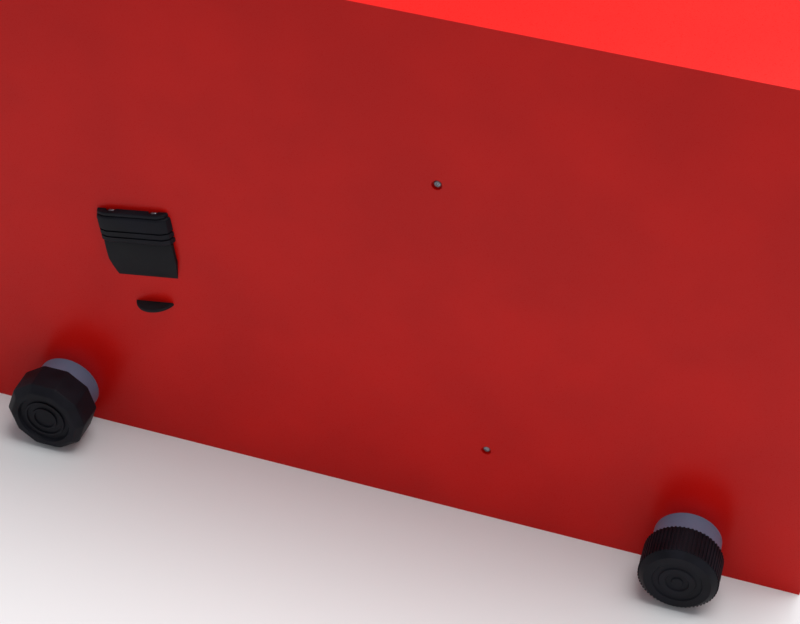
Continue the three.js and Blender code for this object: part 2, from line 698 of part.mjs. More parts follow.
// Everything in front of the red cover's nose.
function frontRegion() {
  const region = new THREE.Shape();
  region.moveTo(75, 420);
  region.lineTo(75, 359);
  region.quadraticCurveTo(70, 345, 80, 328);
  region.lineTo(184, 226);
  region.quadraticCurveTo(208, 203, 199, 175);
  region.quadraticCurveTo(186, 146, 133, 99);
  region.quadraticCurveTo(104, 76, 50, 57);
  region.lineTo(50, -10);
  region.lineTo(420, -10);
  region.lineTo(420, 420);
  return region;
}

// The leaf-shaped field at the rear of each side that the red cover leaves open.
function rearRegion() {
  const region = new THREE.Shape();
  region.moveTo(-300, 304);
  region.lineTo(-124, 304);
  region.bezierCurveTo(-106, 290, -80, 240, -80, 185);
  region.quadraticCurveTo(-85, 130, -124, 105);
  region.quadraticCurveTo(-132, 98, -141, 104);
  region.lineTo(-170, 122);
  region.lineTo(-300, 122);
  return region;
}

// The same rear edge on a much longer body, so that only the tail takes its larger rounding.
function tailOutline() {
  const outline = new THREE.Shape();
  outline.moveTo(-150, -80);
  outline.lineTo(-165, 110);
  outline.splineThru([v2(-167.5, 168), v2(-165, 223), v2(-159, 255), v2(-151, 280), v2(-141, 302),
    v2(-127, 322), v2(-108, 340), v2(-84, 354), v2(-40, 374)]);
  outline.lineTo(40, 410);
  outline.lineTo(500, 500);
  outline.lineTo(500, -80);
  outline.closePath();
  return outline;
}

// An outline made solid across the housing's width, its edges rounded, inset all over by a distance.
function roundedSolid(outline, round, inset, steps) {
  const options = {
    depth: 2 * (cover.half - round),
    curveSegments: 2,
    bevelThickness: round - inset,
    bevelSize: round - inset,
    bevelOffset: -round,
    bevelSegments: steps,
  };
  const geometry = new THREE.ExtrudeGeometry(outline, options);
  return solid(geometry.rotateX(Math.PI / 2).translate(0, cover.half - round, 0));
}

// The neck that rises from the housing round the seat tube and flares into it.
function collarSolid(inset) {
  const { top, r } = collar;
  const profile = [[56, top - 52.4], [44, top - 40.4], [37, top - 29.4], [33.5, top - 16.4], [32, top - 5.4],
    [r + 2.5, top - 1.5], [r, top]].map(([radius, height]) => [radius - inset, height - inset]);
  const closed = [[0, profile[0][1]], ...profile, [0, top - inset]];
  return solid(along(turned(closed, 30), leanDirection(seat), v3(seat.x, 0, collar.seat)));
}

function housingBody(inset) {
  return roundedSolid(housingOutline(), cover.round, inset, 2)
    .intersect(roundedSolid(tailOutline(), cover.tailRound, inset, 3))
    .add(collarSolid(inset));
}

function housingShell(inset) {
  let hollow = housingBody(inset).subtract(housingBody(inset + cover.wall));
  hollow = hollow.subtract(leaningTube({ ...seat, top: 500 }, seat.r + 1.2, 0));
  hollow = hollow.subtract(leaningTube({ ...post, top: 500 }, post.r + 1.2, 0));
  const slack = beam.width / 2 + 1;
  hollow = hollow.subtract(solid(box(-big, big, -slack, slack, 0, beam.top + 1)));
  hollow = hollow.subtract(solid(box(-20, 205, -slack, slack, 0, beam.top + 8)));
  return hollow.subtract(solid(rod(20, 200, 24).translate(crankAxis.x, 0, crankAxis.z)));
}

// Four vents cut through the rear field, one above the other.
function vents() {
  const spots = [[-116, 249], [-121, 212], [-122, 175], [-117, 141]];
  return spots.map(([x, z]) => {
    const slot = new THREE.Shape();
    slot.absarc(x + 6, z, 2.3, -Math.PI / 2, Math.PI / 2, false);
    slot.absarc(x - 6, z, 2.3, Math.PI / 2, Math.PI * 1.5, false);
    slot.closePath();
    return solid(slab(slot, -100, 100, 0, 4));
  });
}

const front = (grow) => solid(slab(frontRegion(), -100, 100, grow, 5));
const rear = (grow) => solid(slab(rearRegion(), -100, 100, grow, 6));
const leftHalf = solid(box(-big, big, cover.seam, big, -big, big));

const shellOuter = housingShell(0);
const shellInset = housingShell(cover.recess);
const frontCover = shellOuter.intersect(front(-gap)).intersect(leftHalf);
const mainCover = shellOuter.subtract(front(0)).subtract(rear(0)).intersect(leftHalf);
let rearCover = shellInset.intersect(rear(-gap)).intersect(leftHalf);
for (const vent of vents()) rearCover = rearCover.subtract(vent);

for (const [name, piece, material] of [['front_cover', frontCover, greyCover],
  ['main_cover', mainCover, redCover], ['rear_cover', rearCover, greyCover]]) {
  add(`${name}_left`, piece, material);
  add(`${name}_right`, mirrored(piece), material);
}

export default part;
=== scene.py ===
# %% [markdown]
# # A pedal exerciser
# The object is the lower part of an exercise bike: two cross tubes joined by a beam, a round-cornered
# plastic housing with a flywheel inside, a bent chrome crank with two strapped pedals, and the stubs of
# the seat tube and the front post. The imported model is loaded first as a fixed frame. Everything made
# below stands for one of its nodes, in the same place and of the same size, with the fine surface that
# a moulding, a bent tube or a turned screw really has.

# %% Load the frame
import json
import math
from contextlib import contextmanager

import bmesh
import bpy
from mathutils import Matrix, Vector


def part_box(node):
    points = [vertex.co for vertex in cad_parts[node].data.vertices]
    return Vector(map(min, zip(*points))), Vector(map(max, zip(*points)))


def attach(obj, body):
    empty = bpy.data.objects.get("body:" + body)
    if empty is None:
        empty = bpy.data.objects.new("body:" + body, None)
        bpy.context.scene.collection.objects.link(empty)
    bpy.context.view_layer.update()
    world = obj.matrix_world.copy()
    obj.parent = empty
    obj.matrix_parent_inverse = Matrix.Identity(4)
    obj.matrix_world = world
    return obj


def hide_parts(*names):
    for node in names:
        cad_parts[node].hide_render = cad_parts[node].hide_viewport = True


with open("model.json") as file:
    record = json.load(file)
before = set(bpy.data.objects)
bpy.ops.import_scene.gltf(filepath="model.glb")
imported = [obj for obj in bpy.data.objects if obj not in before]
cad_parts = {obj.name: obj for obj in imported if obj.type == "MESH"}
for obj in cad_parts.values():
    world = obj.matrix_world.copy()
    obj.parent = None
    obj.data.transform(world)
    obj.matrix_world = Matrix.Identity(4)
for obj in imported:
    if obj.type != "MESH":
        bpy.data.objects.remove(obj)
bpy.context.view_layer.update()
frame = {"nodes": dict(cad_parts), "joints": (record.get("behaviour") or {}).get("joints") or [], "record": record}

MM = 0.001

# %% [markdown]
# ## The camera
# The camera stands to the left of the rear, above the seat tube, and looks down at the housing. It is a
# long lens from about two metres away, so the base's far end is only a little smaller than its near end.
# It is set by its place and three angles: down-tilt, roll and heading.

# %% Camera
camera_data = bpy.data.cameras.new("camera")
camera_data.lens = 80.16
camera = bpy.data.objects.new("camera", camera_data)
bpy.context.scene.collection.objects.link(camera)
camera.location = (-0.3093, 1.3122, 1.1728)
camera.rotation_euler = [math.radians(a) for a in (50.083, -2.848, -163.174)]
bpy.context.scene.camera = camera

# %% [markdown]
# ## Helpers for modelling
# Each piece starts as a primitive at its real size. The helpers deselect everything first, because an
# operator acts on all that is selected, and then pick faces and edges by where they are or how they
# face. Sizes are written in millimetres and multiplied by `MM`.


# %% Select, edit and add
def deselect():
    bpy.ops.object.select_all(action="DESELECT")


def activate(obj):
    deselect()
    obj.select_set(True)
    bpy.context.view_layer.objects.active = obj
    return obj


def primitive(operator, name, **settings):
    deselect()
    operator(**settings)
    obj = bpy.context.object
    obj.name = name
    obj.data.name = name
    return obj


@contextmanager
def editing(obj, mode="FACE"):
    activate(obj)
    bpy.ops.object.mode_set(mode="EDIT")
    bpy.ops.mesh.select_mode(type=mode)
    yield
    bpy.ops.object.mode_set(mode="OBJECT")


def pick(obj, kind, test):
    """In edit mode, selects the faces, edges or verts that pass the test, and nothing else."""
    bpy.ops.mesh.select_all(action="DESELECT")
    mesh = bmesh.from_edit_mesh(obj.data)
    for element in getattr(mesh, kind):
        if test(element):
            element.select_set(True)
    mesh.select_flush_mode()
    bmesh.update_edit_mesh(obj.data)


def modified(obj, kind, **settings):
    """Adds one modifier and applies it."""
    activate(obj)
    modifier = obj.modifiers.new(kind.title(), kind)
    for key, value in settings.items():
        setattr(modifier, key, value)
    bpy.ops.object.modifier_apply(modifier=modifier.name)
    return obj


def softened(obj, width, angle=30, segments=3):
    """Rounds every edge sharper than the angle."""
    return modified(obj, "BEVEL", width=width * MM, segments=segments, limit_method="ANGLE",
                    angle_limit=math.radians(angle), use_clamp_overlap=True, miter_outer="MITER_ARC")


def combined(obj, other, operation):
    """Cuts with, joins or keeps what is inside another closed piece, which is then removed."""
    modified(obj, "BOOLEAN", operation=operation, object=other, solver="EXACT")
    bpy.data.objects.remove(other)
    return obj


def applied(obj):
    activate(obj)
    bpy.ops.object.transform_apply(location=True, rotation=True, scale=True)
    return obj


def placed(obj, place, direction=(0, 0, 1)):
    """Turns a piece made upright at the origin to face a direction, moves it and applies both."""
    turn = Vector((0, 0, 1)).rotation_difference(Vector(direction))
    obj.matrix_world = Matrix.Translation([v * MM for v in place]) @ turn.to_matrix().to_4x4()
    return applied(obj)


def duplicated(obj, name):
    activate(obj)
    bpy.ops.object.duplicate(linked=False)
    copy = bpy.context.object
    copy.name = name
    copy.data.name = name
    return copy


def mirrored(obj, name):
    """A left-hand piece as its right-hand twin, across the middle plane."""
    copy = duplicated(obj, name)
    with editing(copy):
        bpy.ops.mesh.select_all(action="SELECT")
        bpy.ops.transform.resize(value=(1, -1, 1), center_override=(0, 0, 0))
        bpy.ops.mesh.flip_normals()
    return copy


# %% [markdown]
# A turned piece, such as a cap, a disc or a bolt, is a circle that is extruded and scaled again and
# again up its half profile, which is how it would be drawn for a lathe. The profile runs from the low
# inner corner outwards and up. A ring closes on its first circle, and a solid one is filled at its ends.


# %% Turned pieces and swept rods
def turned(name, profile, sides=96, ring=False):
    """Half profile of (radius, height) in millimetres, made about +Z at the origin."""
    radius, height = profile[0]
    obj = primitive(bpy.ops.mesh.primitive_circle_add, name, vertices=sides, radius=radius * MM,
                    location=(0, 0, height * MM), fill_type="NOTHING" if ring else "NGON")
    applied(obj)
    with editing(obj, "EDGE"):
        bpy.ops.mesh.select_all(action="SELECT")
        for (ra, ha), (rb, hb) in zip(profile, profile[1:]):
            bpy.ops.mesh.extrude_edges_move(TRANSFORM_OT_translate={"value": (0, 0, (hb - ha) * MM)})
            bpy.ops.transform.resize(value=(rb / ra, rb / ra, 1), center_override=(0, 0, hb * MM))
        if not ring:
            bpy.ops.mesh.edge_face_add()
        bpy.ops.mesh.select_all(action="SELECT")
        bpy.ops.mesh.remove_doubles(threshold=1e-6)
        bpy.ops.mesh.normals_make_consistent(inside=False)
    return obj


def swept(name, points, radius, bends):
    """A round rod along a list of points; each inner corner is a bend of the given radius."""
    bpy.ops.curve.primitive_bezier_curve_add()
    curve = bpy.context.object
    curve.name = name
    spline = curve.data.splines[0]
    stations = [(Vector(points[0]), None, None)]
    for before, corner, after in zip(points, points[1:], points[2:]):
        corner = Vector(corner)
        into = (Vector(before) - corner).normalized() * bends
        out = (Vector(after) - corner).normalized() * bends
        stations += [(corner + into, None, corner + into * 0.448), (corner + out, corner + out * 0.448, None)]
    stations.append((Vector(points[-1]), None, None))
    spline.bezier_points.add(len(stations) - 2)
    for point, (place, left, right) in zip(spline.bezier_points, stations):
        point.handle_left_type = point.handle_right_type = "VECTOR"
        point.co = place * MM
    for point, (place, left, right) in zip(spline.bezier_points, stations):
        if left:
            point.handle_left_type = "FREE"
            point.handle_left = left * MM
        if right:
            point.handle_right_type = "FREE"
            point.handle_right = right * MM
    curve.data.dimensions = "3D"
    curve.data.resolution_u = 10
    curve.data.bevel_depth = radius * MM
    curve.data.bevel_resolution = 10
    curve.data.use_fill_caps = True
    activate(curve)
    bpy.ops.object.convert(target="MESH")
    rod = applied(bpy.context.object)
    with editing(rod):
        bpy.ops.mesh.select_all(action="SELECT")
        bpy.ops.mesh.remove_doubles(threshold=1e-6)
        bpy.ops.mesh.normals_make_consistent(inside=False)
    return rod


# %% [markdown]
# ## Helpers for finishes
# A finish is a small node tree. Every colour is written as the sRGB hex value a painter would name, and
# one function turns it to the linear numbers that the renderer works in. Patterns read Object
# coordinates in metres, so a grain of half a millimetre is a noise of scale 1 / 0.0005.


# %% Colour and node helpers
def linear(hex_value, alpha=1.0):
    channels = [(hex_value >> shift & 255) / 255 for shift in (16, 8, 0)]
    return [c / 12.92 if c <= 0.04045 else ((c + 0.055) / 1.055) ** 2.4 for c in channels] + [alpha]


def node(tree, kind, settings=None, links=()):
    """Adds one node, sets its sockets or properties, and links (input, from node, output) into it."""
    made = tree.nodes.new(kind)
    for key, value in (settings or {}).items():
        if isinstance(key, int) or key in made.inputs:
            made.inputs[key].default_value = value
        else:
            setattr(made, key, value)
    for socket, source, output in links:
        tree.links.new(source.outputs[output], made.inputs[socket])
    return made


def blank(name):
    material = bpy.data.materials.new(name)
    material.use_nodes = True
    material.node_tree.nodes.clear()
    return material, material.node_tree


def grain(tree, size_mm, detail=3.0, roughness=0.5):
    """A noise whose features are about the given size across, in Object coordinates."""
    where = node(tree, "ShaderNodeTexCoord")
    settings = {"Scale": 1 / (size_mm * MM), "Detail": detail, "Roughness": roughness}
    return node(tree, "ShaderNodeTexNoise", settings, [("Vector", where, "Object")])


def spread(tree, source, low, high, start=0.3, end=0.7, output="Fac"):
    """Maps a pattern to a range of values."""
    settings = {"From Min": start, "From Max": end, "To Min": low, "To Max": high}
    return node(tree, "ShaderNodeMapRange", settings, [("Value", source, output)])


def tones(tree, source, dark, light, start=0.35, end=0.65, output="Fac"):
    """Maps a pattern to a blend of two colours."""
    ramp = node(tree, "ShaderNodeValToRGB", links=[("Fac", source, output)])
    ramp.color_ramp.elements[0].position = start
    ramp.color_ramp.elements[0].color = linear(dark)
    ramp.color_ramp.elements[1].position = end
    ramp.color_ramp.elements[1].color = linear(light)
    return ramp


def bump(tree, source, height_mm, output="Fac", below=None):
    links = [("Height", source, output)]
    if below:
        links.append(("Normal", below, "Normal"))
    return node(tree, "ShaderNodeBump", {"Distance": height_mm * MM, "Strength": 1.0}, links)


def shaded(tree, settings, colour, rough, normal):
    links = [("Base Color", colour, "Color"), ("Roughness", rough, "Result"), ("Normal", normal, "Normal")]
    shader = node(tree, "ShaderNodeBsdfPrincipled", settings, links)
    node(tree, "ShaderNodeOutputMaterial", links=[("Surface", shader, "BSDF")])


# %% [markdown]
# ## Powder coat on the frame
# The tubes are sprayed with a blue-grey polyester powder and baked. The powder melts to a satin skin
# with a faint orange peel, waves of about three millimetres, and a metallic fleck that lifts the
# highlight. A clear coat layer gives the skin's own reflection over the fleck.


# %% Powder coat
def powder_coat():
    material, tree = blank("powder_coat_blue_grey")
    cloud = grain(tree, 60, detail=2)
    peel = grain(tree, 3.2, detail=1)
    fleck = grain(tree, 0.7, detail=1)
    colour = tones(tree, cloud, 0x6C829F, 0x788EAB)
    rough = spread(tree, fleck, 0.30, 0.44)
    normal = bump(tree, fleck, 0.004, below=bump(tree, peel, 0.05))
    settings = {"Metallic": 0.35, "Coat Weight": 0.2, "Coat Roughness": 0.2, "IOR": 1.5}
    shaded(tree, settings, colour, rough, normal)
    return material


# %% [markdown]
# ## Moulded ABS covers
# The red shells are ABS, coloured through and moulded against a polished tool, so they are glossy with a
# very slight ripple where the plastic shrank over its ribs. The grey ones hold aluminium flakes: a fine
# sparkle that changes the tone from grain to grain, under the same gloss.


# %% Red and metallic grey ABS
def red_abs():
    material, tree = blank("moulded_abs_red")
    cloud = grain(tree, 90, detail=2)
    ripple = grain(tree, 35, detail=1)
    skin = grain(tree, 0.9, detail=2)
    colour = tones(tree, cloud, 0xC00B05, 0xCA0F07)
    rough = spread(tree, skin, 0.26, 0.36)
    normal = bump(tree, skin, 0.006, below=bump(tree, ripple, 0.10))
    shaded(tree, {"IOR": 1.52, "Specular IOR Level": 0.16}, colour, rough, normal)
    return material


def grey_abs():
    material, tree = blank("moulded_abs_metallic_grey")
    flake = grain(tree, 0.8, detail=2, roughness=0.7)
    ripple = grain(tree, 30, detail=1)
    colour = tones(tree, flake, 0x5F5F69, 0x7B7B86)
    rough = spread(tree, flake, 0.30, 0.48)
    normal = bump(tree, flake, 0.006, below=bump(tree, ripple, 0.08))
    settings = {"Metallic": 0.45, "IOR": 1.5, "Specular IOR Level": 0.3, "Coat Weight": 0.1,
                "Coat Roughness": 0.25}
    shaded(tree, settings, colour, rough, normal)
    return material


# %% [markdown]
# ## Black plastics and rubber
# The end caps, pedals and knob are black polypropylene from a spark-eroded tool, whose pits are a third
# of a millimetre across and take the gloss off. The toe straps and the belt are rubber: duller still,
# with a dusty bloom on what is rubbed. The pits are drawn a little coarser than life so that they show.


# %% Grained black plastic, glossy black plastic and rubber
def grained_plastic():
    material, tree = blank("grained_polypropylene_black")
    where = node(tree, "ShaderNodeTexCoord")
    pits = node(tree, "ShaderNodeTexVoronoi", {"Scale": 1 / (0.9 * MM)}, [("Vector", where, "Object")])
    cloud = grain(tree, 25, detail=3)
    colour = tones(tree, cloud, 0x101015, 0x191920)
    rough = spread(tree, cloud, 0.42, 0.58)
    normal = bump(tree, pits, 0.03, output="Distance")
    shaded(tree, {"IOR": 1.49, "Specular IOR Level": 0.12}, colour, rough, normal)
    return material


def gloss_black():
    material, tree = blank("polished_abs_black")
    cloud = grain(tree, 18, detail=3)
    skin = grain(tree, 0.8, detail=2)
    colour = tones(tree, cloud, 0x0C0C10, 0x141418)
    rough = spread(tree, cloud, 0.20, 0.34)
    shaded(tree, {"IOR": 1.52, "Specular IOR Level": 0.2}, colour, rough, bump(tree, skin, 0.008))
    return material


def strap_rubber():
    material, tree = blank("moulded_rubber_black")
    bloom = grain(tree, 14, detail=4, roughness=0.6)
    skin = grain(tree, 0.8, detail=3)
    colour = tones(tree, bloom, 0x0C0C10, 0x19191D)
    rough = spread(tree, bloom, 0.55, 0.78)
    shaded(tree, {"IOR": 1.5, "Specular IOR Level": 0.2}, colour, rough, bump(tree, skin, 0.03))
    return material


# %% [markdown]
# ## Metals
# The crank is steel with polished chrome plate: almost a mirror, with a slight haze from handling. The
# bolts and nuts are zinc plated, duller and a little blue. Bare steel shows rolling marks, and the
# flywheel is cast iron with a coarse skin. A metal's colour is its reflection, so metallic is one.


# %% Chrome, zinc, bare steel, cast iron and blackened screws
def metal(name, dark, light, cloud_mm, rough_low, rough_high, skin_mm, height_mm):
    material, tree = blank(name)
    cloud = grain(tree, cloud_mm, detail=3)
    skin = grain(tree, skin_mm, detail=2)
    colour = tones(tree, cloud, dark, light)
    rough = spread(tree, cloud, rough_low, rough_high)
    shaded(tree, {"Metallic": 1.0}, colour, rough, bump(tree, skin, height_mm))
    return material


def printed_white():
    """Pad-printed ink: thin, matt, and a little uneven where the plastic shows through."""
    material, tree = blank("pad_print_ink_pale")
    wear = grain(tree, 2.5, detail=4)
    colour = tones(tree, wear, 0xDCD3D6, 0xEDE8EA)
    rough = spread(tree, wear, 0.45, 0.60)
    shaded(tree, {"Specular IOR Level": 0.3}, colour, rough, bump(tree, wear, 0.01))
    return material


POWDER = powder_coat()
RED = red_abs()
GREY = grey_abs()
GRAINED = grained_plastic()
GLOSS_BLACK = gloss_black()
RUBBER = strap_rubber()
CHROME = metal("polished_chrome_plate", 0xD2D4D8, 0xE6E7EA, 30, 0.05, 0.13, 4, 0.004)
ZINC = metal("zinc_plated_steel", 0xA9ADB4, 0xC6C9CE, 5, 0.22, 0.38, 0.8, 0.010)
STEEL = metal("cold_rolled_steel", 0x80848A, 0x9A9DA2, 8, 0.28, 0.45, 1.2, 0.010)
IRON = metal("cast_iron_skin", 0x3E4043, 0x56585C, 3, 0.45, 0.65, 1.5, 0.060)
PRINT = printed_white()
BLACKENED = metal("blackened_screw_steel", 0x77777C, 0x9A9AA0, 2, 0.30, 0.45, 0.8, 0.010)


# %% [markdown]
# ## Finishing a piece
# Each piece gets its material, smooth shading up to an angle so that real corners stay crisp, and the body
# that it moves with, and the frame's node that it stands for is hidden.


# %% Finish and colour what stays
def finish(obj, material, body, slot, *nodes, angle=35, weighted=False):
    obj.data.materials.clear()
    obj.data.materials.append(material)
    activate(obj)
    bpy.ops.object.shade_smooth_by_angle(angle=math.radians(angle))
    if weighted:
        modified(obj, "WEIGHTED_NORMAL", keep_sharp=True, weight=100)
    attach(obj, body)
    if nodes:
        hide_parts(*nodes)
    return obj


def centre(name):
    low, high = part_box(name)
    return [(a + b) / 2 / MM for a, b in zip(low, high)]


KEPT = {
    "steel": STEEL, "cast_iron": IRON, "black_plastic": GRAINED, "black_rubber": RUBBER, "blue_paint": POWDER,
    "zinc": ZINC, "chrome": CHROME, "red_cover": RED, "grey_cover": GREY,
}
for part in frame["record"]["subparts"]:
    kept = frame["nodes"][part["node"]]
    kept.data.materials.clear()
    kept.data.materials.append(KEPT[part["material_slot"]])

# %% [markdown]
# ## Leading sizes
# These follow the frame: the tubes' axes come from the boxes of their nodes, and the leans of the two
# uprights from the directions stated with their rims.

# %% Places taken from the frame
REAR_X, _, TUBE_Z = centre("rear_stabiliser_tube")
FRONT_X = centre("front_stabiliser_tube")[0]
CRANK = Vector(centre("hub_disc_left"))
CRANK.y = 0
MOUNTS = {mount["name"]: mount for mount in frame["record"]["mounts"]}
SEAT_UP = Vector(MOUNTS["seat_post_rim"]["axis"])
POST_UP = Vector(MOUNTS["handlebar_post_rim"]["axis"])
KNOB_OUT = Vector(next(j for j in frame["joints"] if j["name"] == "seat_pin_pull")["axis"])
SIDES = (("left", 1), ("right", -1))
ENDS = (("rear", REAR_X, 1), ("front", FRONT_X, -1))


def on_axis(mount, offset_y, rise):
    """A point on an upright's axis, the given distance up from its rim."""
    place = Vector(MOUNTS[mount]["pos_m"]) / MM
    place.y -= offset_y
    return place + Vector(MOUNTS[mount]["axis"]) * rise


# %% [markdown]
# ## Stabiliser tubes
# Each is a length of 60 mm steel tube with a 2 mm wall. A circle is extruded along the tube and back
# through its bore, which leaves real open ends inside the caps.

# %% Stabiliser tubes
TUBE_R, TUBE_HALF = 30, 246
for end, x, facing in ENDS:
    tube = turned(f"{end}_tube", [(28, -TUBE_HALF), (TUBE_R, -TUBE_HALF), (TUBE_R, TUBE_HALF),
                                  (28, TUBE_HALF), (28, -TUBE_HALF)], ring=True)
    placed(tube, (x, 0, TUBE_Z), (0, 1, 0))
    finish(tube, POWDER, "frame", "blue_paint", f"{end}_stabiliser_tube")

# %% [markdown]
# ## The beam
# The beam is a rectangular tube, 70 by 32 mm. Rolled tube always has round corners, so the block's four
# long edges are bevelled to 5 mm, and each end is inset by the wall and pushed in.

# %% Main beam
low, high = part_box("main_beam")
beam = primitive(bpy.ops.mesh.primitive_cube_add, "beam", size=1,
                 location=[(a + b) / 2 for a, b in zip(low, high)],
                 scale=[b - a for a, b in zip(low, high)])
applied(beam)
with editing(beam, "EDGE"):
    pick(beam, "edges", lambda e: abs((e.verts[0].co - e.verts[1].co).x) > 0.3)
    bpy.ops.mesh.bevel(offset=5 * MM, segments=6, affect="EDGES")
with editing(beam):
    for sign in (1, -1):
        pick(beam, "faces", lambda f: f.normal.x * sign > 0.99)
        bpy.ops.mesh.inset(thickness=2 * MM)
        bpy.ops.mesh.extrude_region_move(TRANSFORM_OT_translate={"value": (-sign * 60 * MM, 0, 0)})
finish(beam, POWDER, "frame", "blue_paint", "main_beam")

# %% [markdown]
# ## Saddle plates
# A saddle plate is flat bar pressed round the tube. An open cylinder the plate's length is the bar's
# outer face; the strips that lie away from the beam are deleted, a Solidify modifier gives the rest its
# 3 mm, and its edges are eased. A run of weld joins each side to the beam: a rod of overlapping beads.

# %% Saddle plates and their welds
SADDLE_HALF, SADDLE_OUT, SADDLE_THICK, SADDLE_ARC = 72, 33.3, 3, 72


def saddle_plate(name, x, facing):
    plate = primitive(bpy.ops.mesh.primitive_cylinder_add, name, vertices=120, radius=SADDLE_OUT * MM,
                      depth=2 * SADDLE_HALF * MM, end_fill_type="NOTHING", rotation=(math.pi / 2, 0, 0))
    applied(plate)
    limit = math.cos(math.radians(SADDLE_ARC)) * SADDLE_OUT * MM
    with editing(plate):
        pick(plate, "faces", lambda f: f.calc_center_median().x * facing < limit)
        bpy.ops.mesh.delete(type="FACE")
    modified(plate, "SOLIDIFY", thickness=SADDLE_THICK * MM, offset=-1)
    softened(plate, 0.8, segments=2)
    return placed(plate, (x, 0, TUBE_Z))


def weld_bead(name, start, end, radius=2.2):
    """A run of overlapping beads, as a torch leaves them, between two points."""
    start, end = Vector(start), Vector(end)
    count = max(4, round((end - start).length / (1.5 * radius)))
    beads = []
    for i in range(count):
        place = start.lerp(end, (i + 0.5) / count)
        bead = primitive(bpy.ops.mesh.primitive_uv_sphere_add, name, segments=16, ring_count=8,
                         radius=radius * MM,
                         location=place * MM)
        beads.append(applied(bead))
    activate(beads[0])
    for bead in beads:
        bead.select_set(True)
    bpy.ops.object.join()
    return bpy.context.object


BEAM_HALF, BEAM_LOW, BEAM_TOP = 35, 27, 59
for end, x, facing in ENDS:
    plate = saddle_plate(f"{end}_saddle", x, facing)
    finish(plate, POWDER, "frame", "blue_paint", f"{end}_saddle_plate")
    corner = x + facing * (math.sqrt(SADDLE_OUT ** 2 - (BEAM_TOP - TUBE_Z) ** 2) + 0.8)
    bead = weld_bead(f"{end}_saddle_weld", (corner, -BEAM_HALF + 2, BEAM_TOP),
                     (corner, BEAM_HALF - 2, BEAM_TOP))
    finish(bead, POWDER, "frame", "blue_paint")
    for side, sign in SIDES:
        side_bead = weld_bead(f"{end}_side_weld_{side}",
                              (x + facing * (SADDLE_OUT + 0.5), sign * BEAM_HALF, BEAM_LOW + 2),
                              (corner, sign * BEAM_HALF, BEAM_TOP - 1))
        finish(side_bead, POWDER, "frame", "blue_paint")

# %% [markdown]
# ## Carriage bolts and domed nuts
# The bolts' low mushroom heads face outwards, and the nuts are closed domes over washers, so that no
# thread is left to catch a trouser leg. A nut is a six-sided prism under a turned dome; the washer is a
# thin ring. Each is modelled once along +Z and copied to its four places.


# %% Bolts and nuts
def carriage_bolt(name):
    head = TUBE_R + 0.3
    arc = [math.radians(d) for d in range(84, -1, -12)]
    dome = [(8.5 * math.cos(a), -head - 5 * math.sin(a)) for a in arc]
    profile = [*dome, (4, -head), (4, 45.6), (3.6, 46)]
    return turned(name, profile, sides=48)


def domed_nut(name):
    seat = TUBE_R + 3.6
    nut = turned(name, [(6.5, seat + 1.6), (7.7, seat + 2.3), (7.7, seat + 7.4), (6.7, seat + 8)], sides=6)
    arc = [math.radians(d) for d in range(0, 85, 12)]
    dome = turned("dome",
                  [(6.2, seat + 6), *[(6.2 * math.cos(a), seat + 8.6 + 6.4 * math.sin(a)) for a in arc]], 48)
    washer = turned("washer", [(9.6, seat), (10, seat + 0.4), (10, seat + 1.2), (9.6, seat + 1.6)], 48)
    softened(nut, 0.4, angle=40, segments=2)
    combined(nut, dome, "UNION")
    return combined(nut, washer, "UNION")


for end, x, facing in ENDS:
    for side, sign in SIDES:
        place = (x, sign * 52, TUBE_Z)
        bolt = placed(carriage_bolt(f"{end}_carriage_bolt_{side}"), place, (facing, 0, 0))
        finish(bolt, ZINC, "frame", "zinc", f"{end}_bolt_{side}", angle=40)
        nut = placed(domed_nut(f"{end}_domed_nut_{side}"), place, (facing, 0, 0))
        finish(nut, ZINC, "frame", "zinc", f"{end}_nut_{side}", angle=30)

# %% [markdown]
# ## End caps
# A rear cap is a ribbed cup: ridges run round its rim for a grip, and rings are moulded into its end.
# The ridges are every other strip of faces, pushed out. A front cap is ten-sided, and its socket is off
# centre, so turning it lifts or lowers that corner of the base; its end has a round dish with rings.


# %% Rear caps
CAP_IN, CAP_OUT, CAP_R = 221, 255, 35


def rear_cap(name):
    ribs = 60
    r = CAP_R - 0.9
    profile = [(r - 1, CAP_IN), (r, CAP_IN + 1), (r, CAP_OUT - 5), (r - 3.5, CAP_OUT - 1.2), (r - 5, CAP_OUT),
               (22, CAP_OUT), (21, CAP_OUT - 1.2), (16.5, CAP_OUT - 1.2), (15.5, CAP_OUT),
               (10.5, CAP_OUT), (9.5, CAP_OUT - 1.2), (5.5, CAP_OUT - 1.2), (4.5, CAP_OUT), (1, CAP_OUT)]
    cap = turned(name, [(p[0], p[1]) for p in profile], sides=2 * ribs)
    with editing(cap):
        def is_rib(face):
            middle = face.calc_center_median()
            turn = math.atan2(middle.y, middle.x) / (2 * math.pi) * 2 * ribs
            return abs(face.normal.z) < 0.1 and math.hypot(middle.x,
                                                           middle.y) > 30 * MM and int(turn // 1) % 2 == 0
        pick(cap, "faces", is_rib)
        bpy.ops.mesh.extrude_region_shrink_fatten(TRANSFORM_OT_shrink_fatten={"value": 0.9 * MM})
    return cap


def socketed(cap):
    """Bores out the socket that slides over the tube."""
    bore = turned("bore", [(TUBE_R + 0.3, CAP_IN - 2), (TUBE_R + 0.3, 248)])
    return combined(cap, bore, "DIFFERENCE")


cap = placed(socketed(rear_cap("rear_ribbed_cap_left")), (REAR_X, 0, TUBE_Z), (0, 1, 0))
finish(mirrored(cap, "rear_ribbed_cap_right"), GRAINED, "frame", "black_plastic", "rear_cap_right", angle=25)
finish(cap, GRAINED, "frame", "black_plastic", "rear_cap_left", angle=25)


# %% Front levelling caps
CAP_RAISE = 1.3


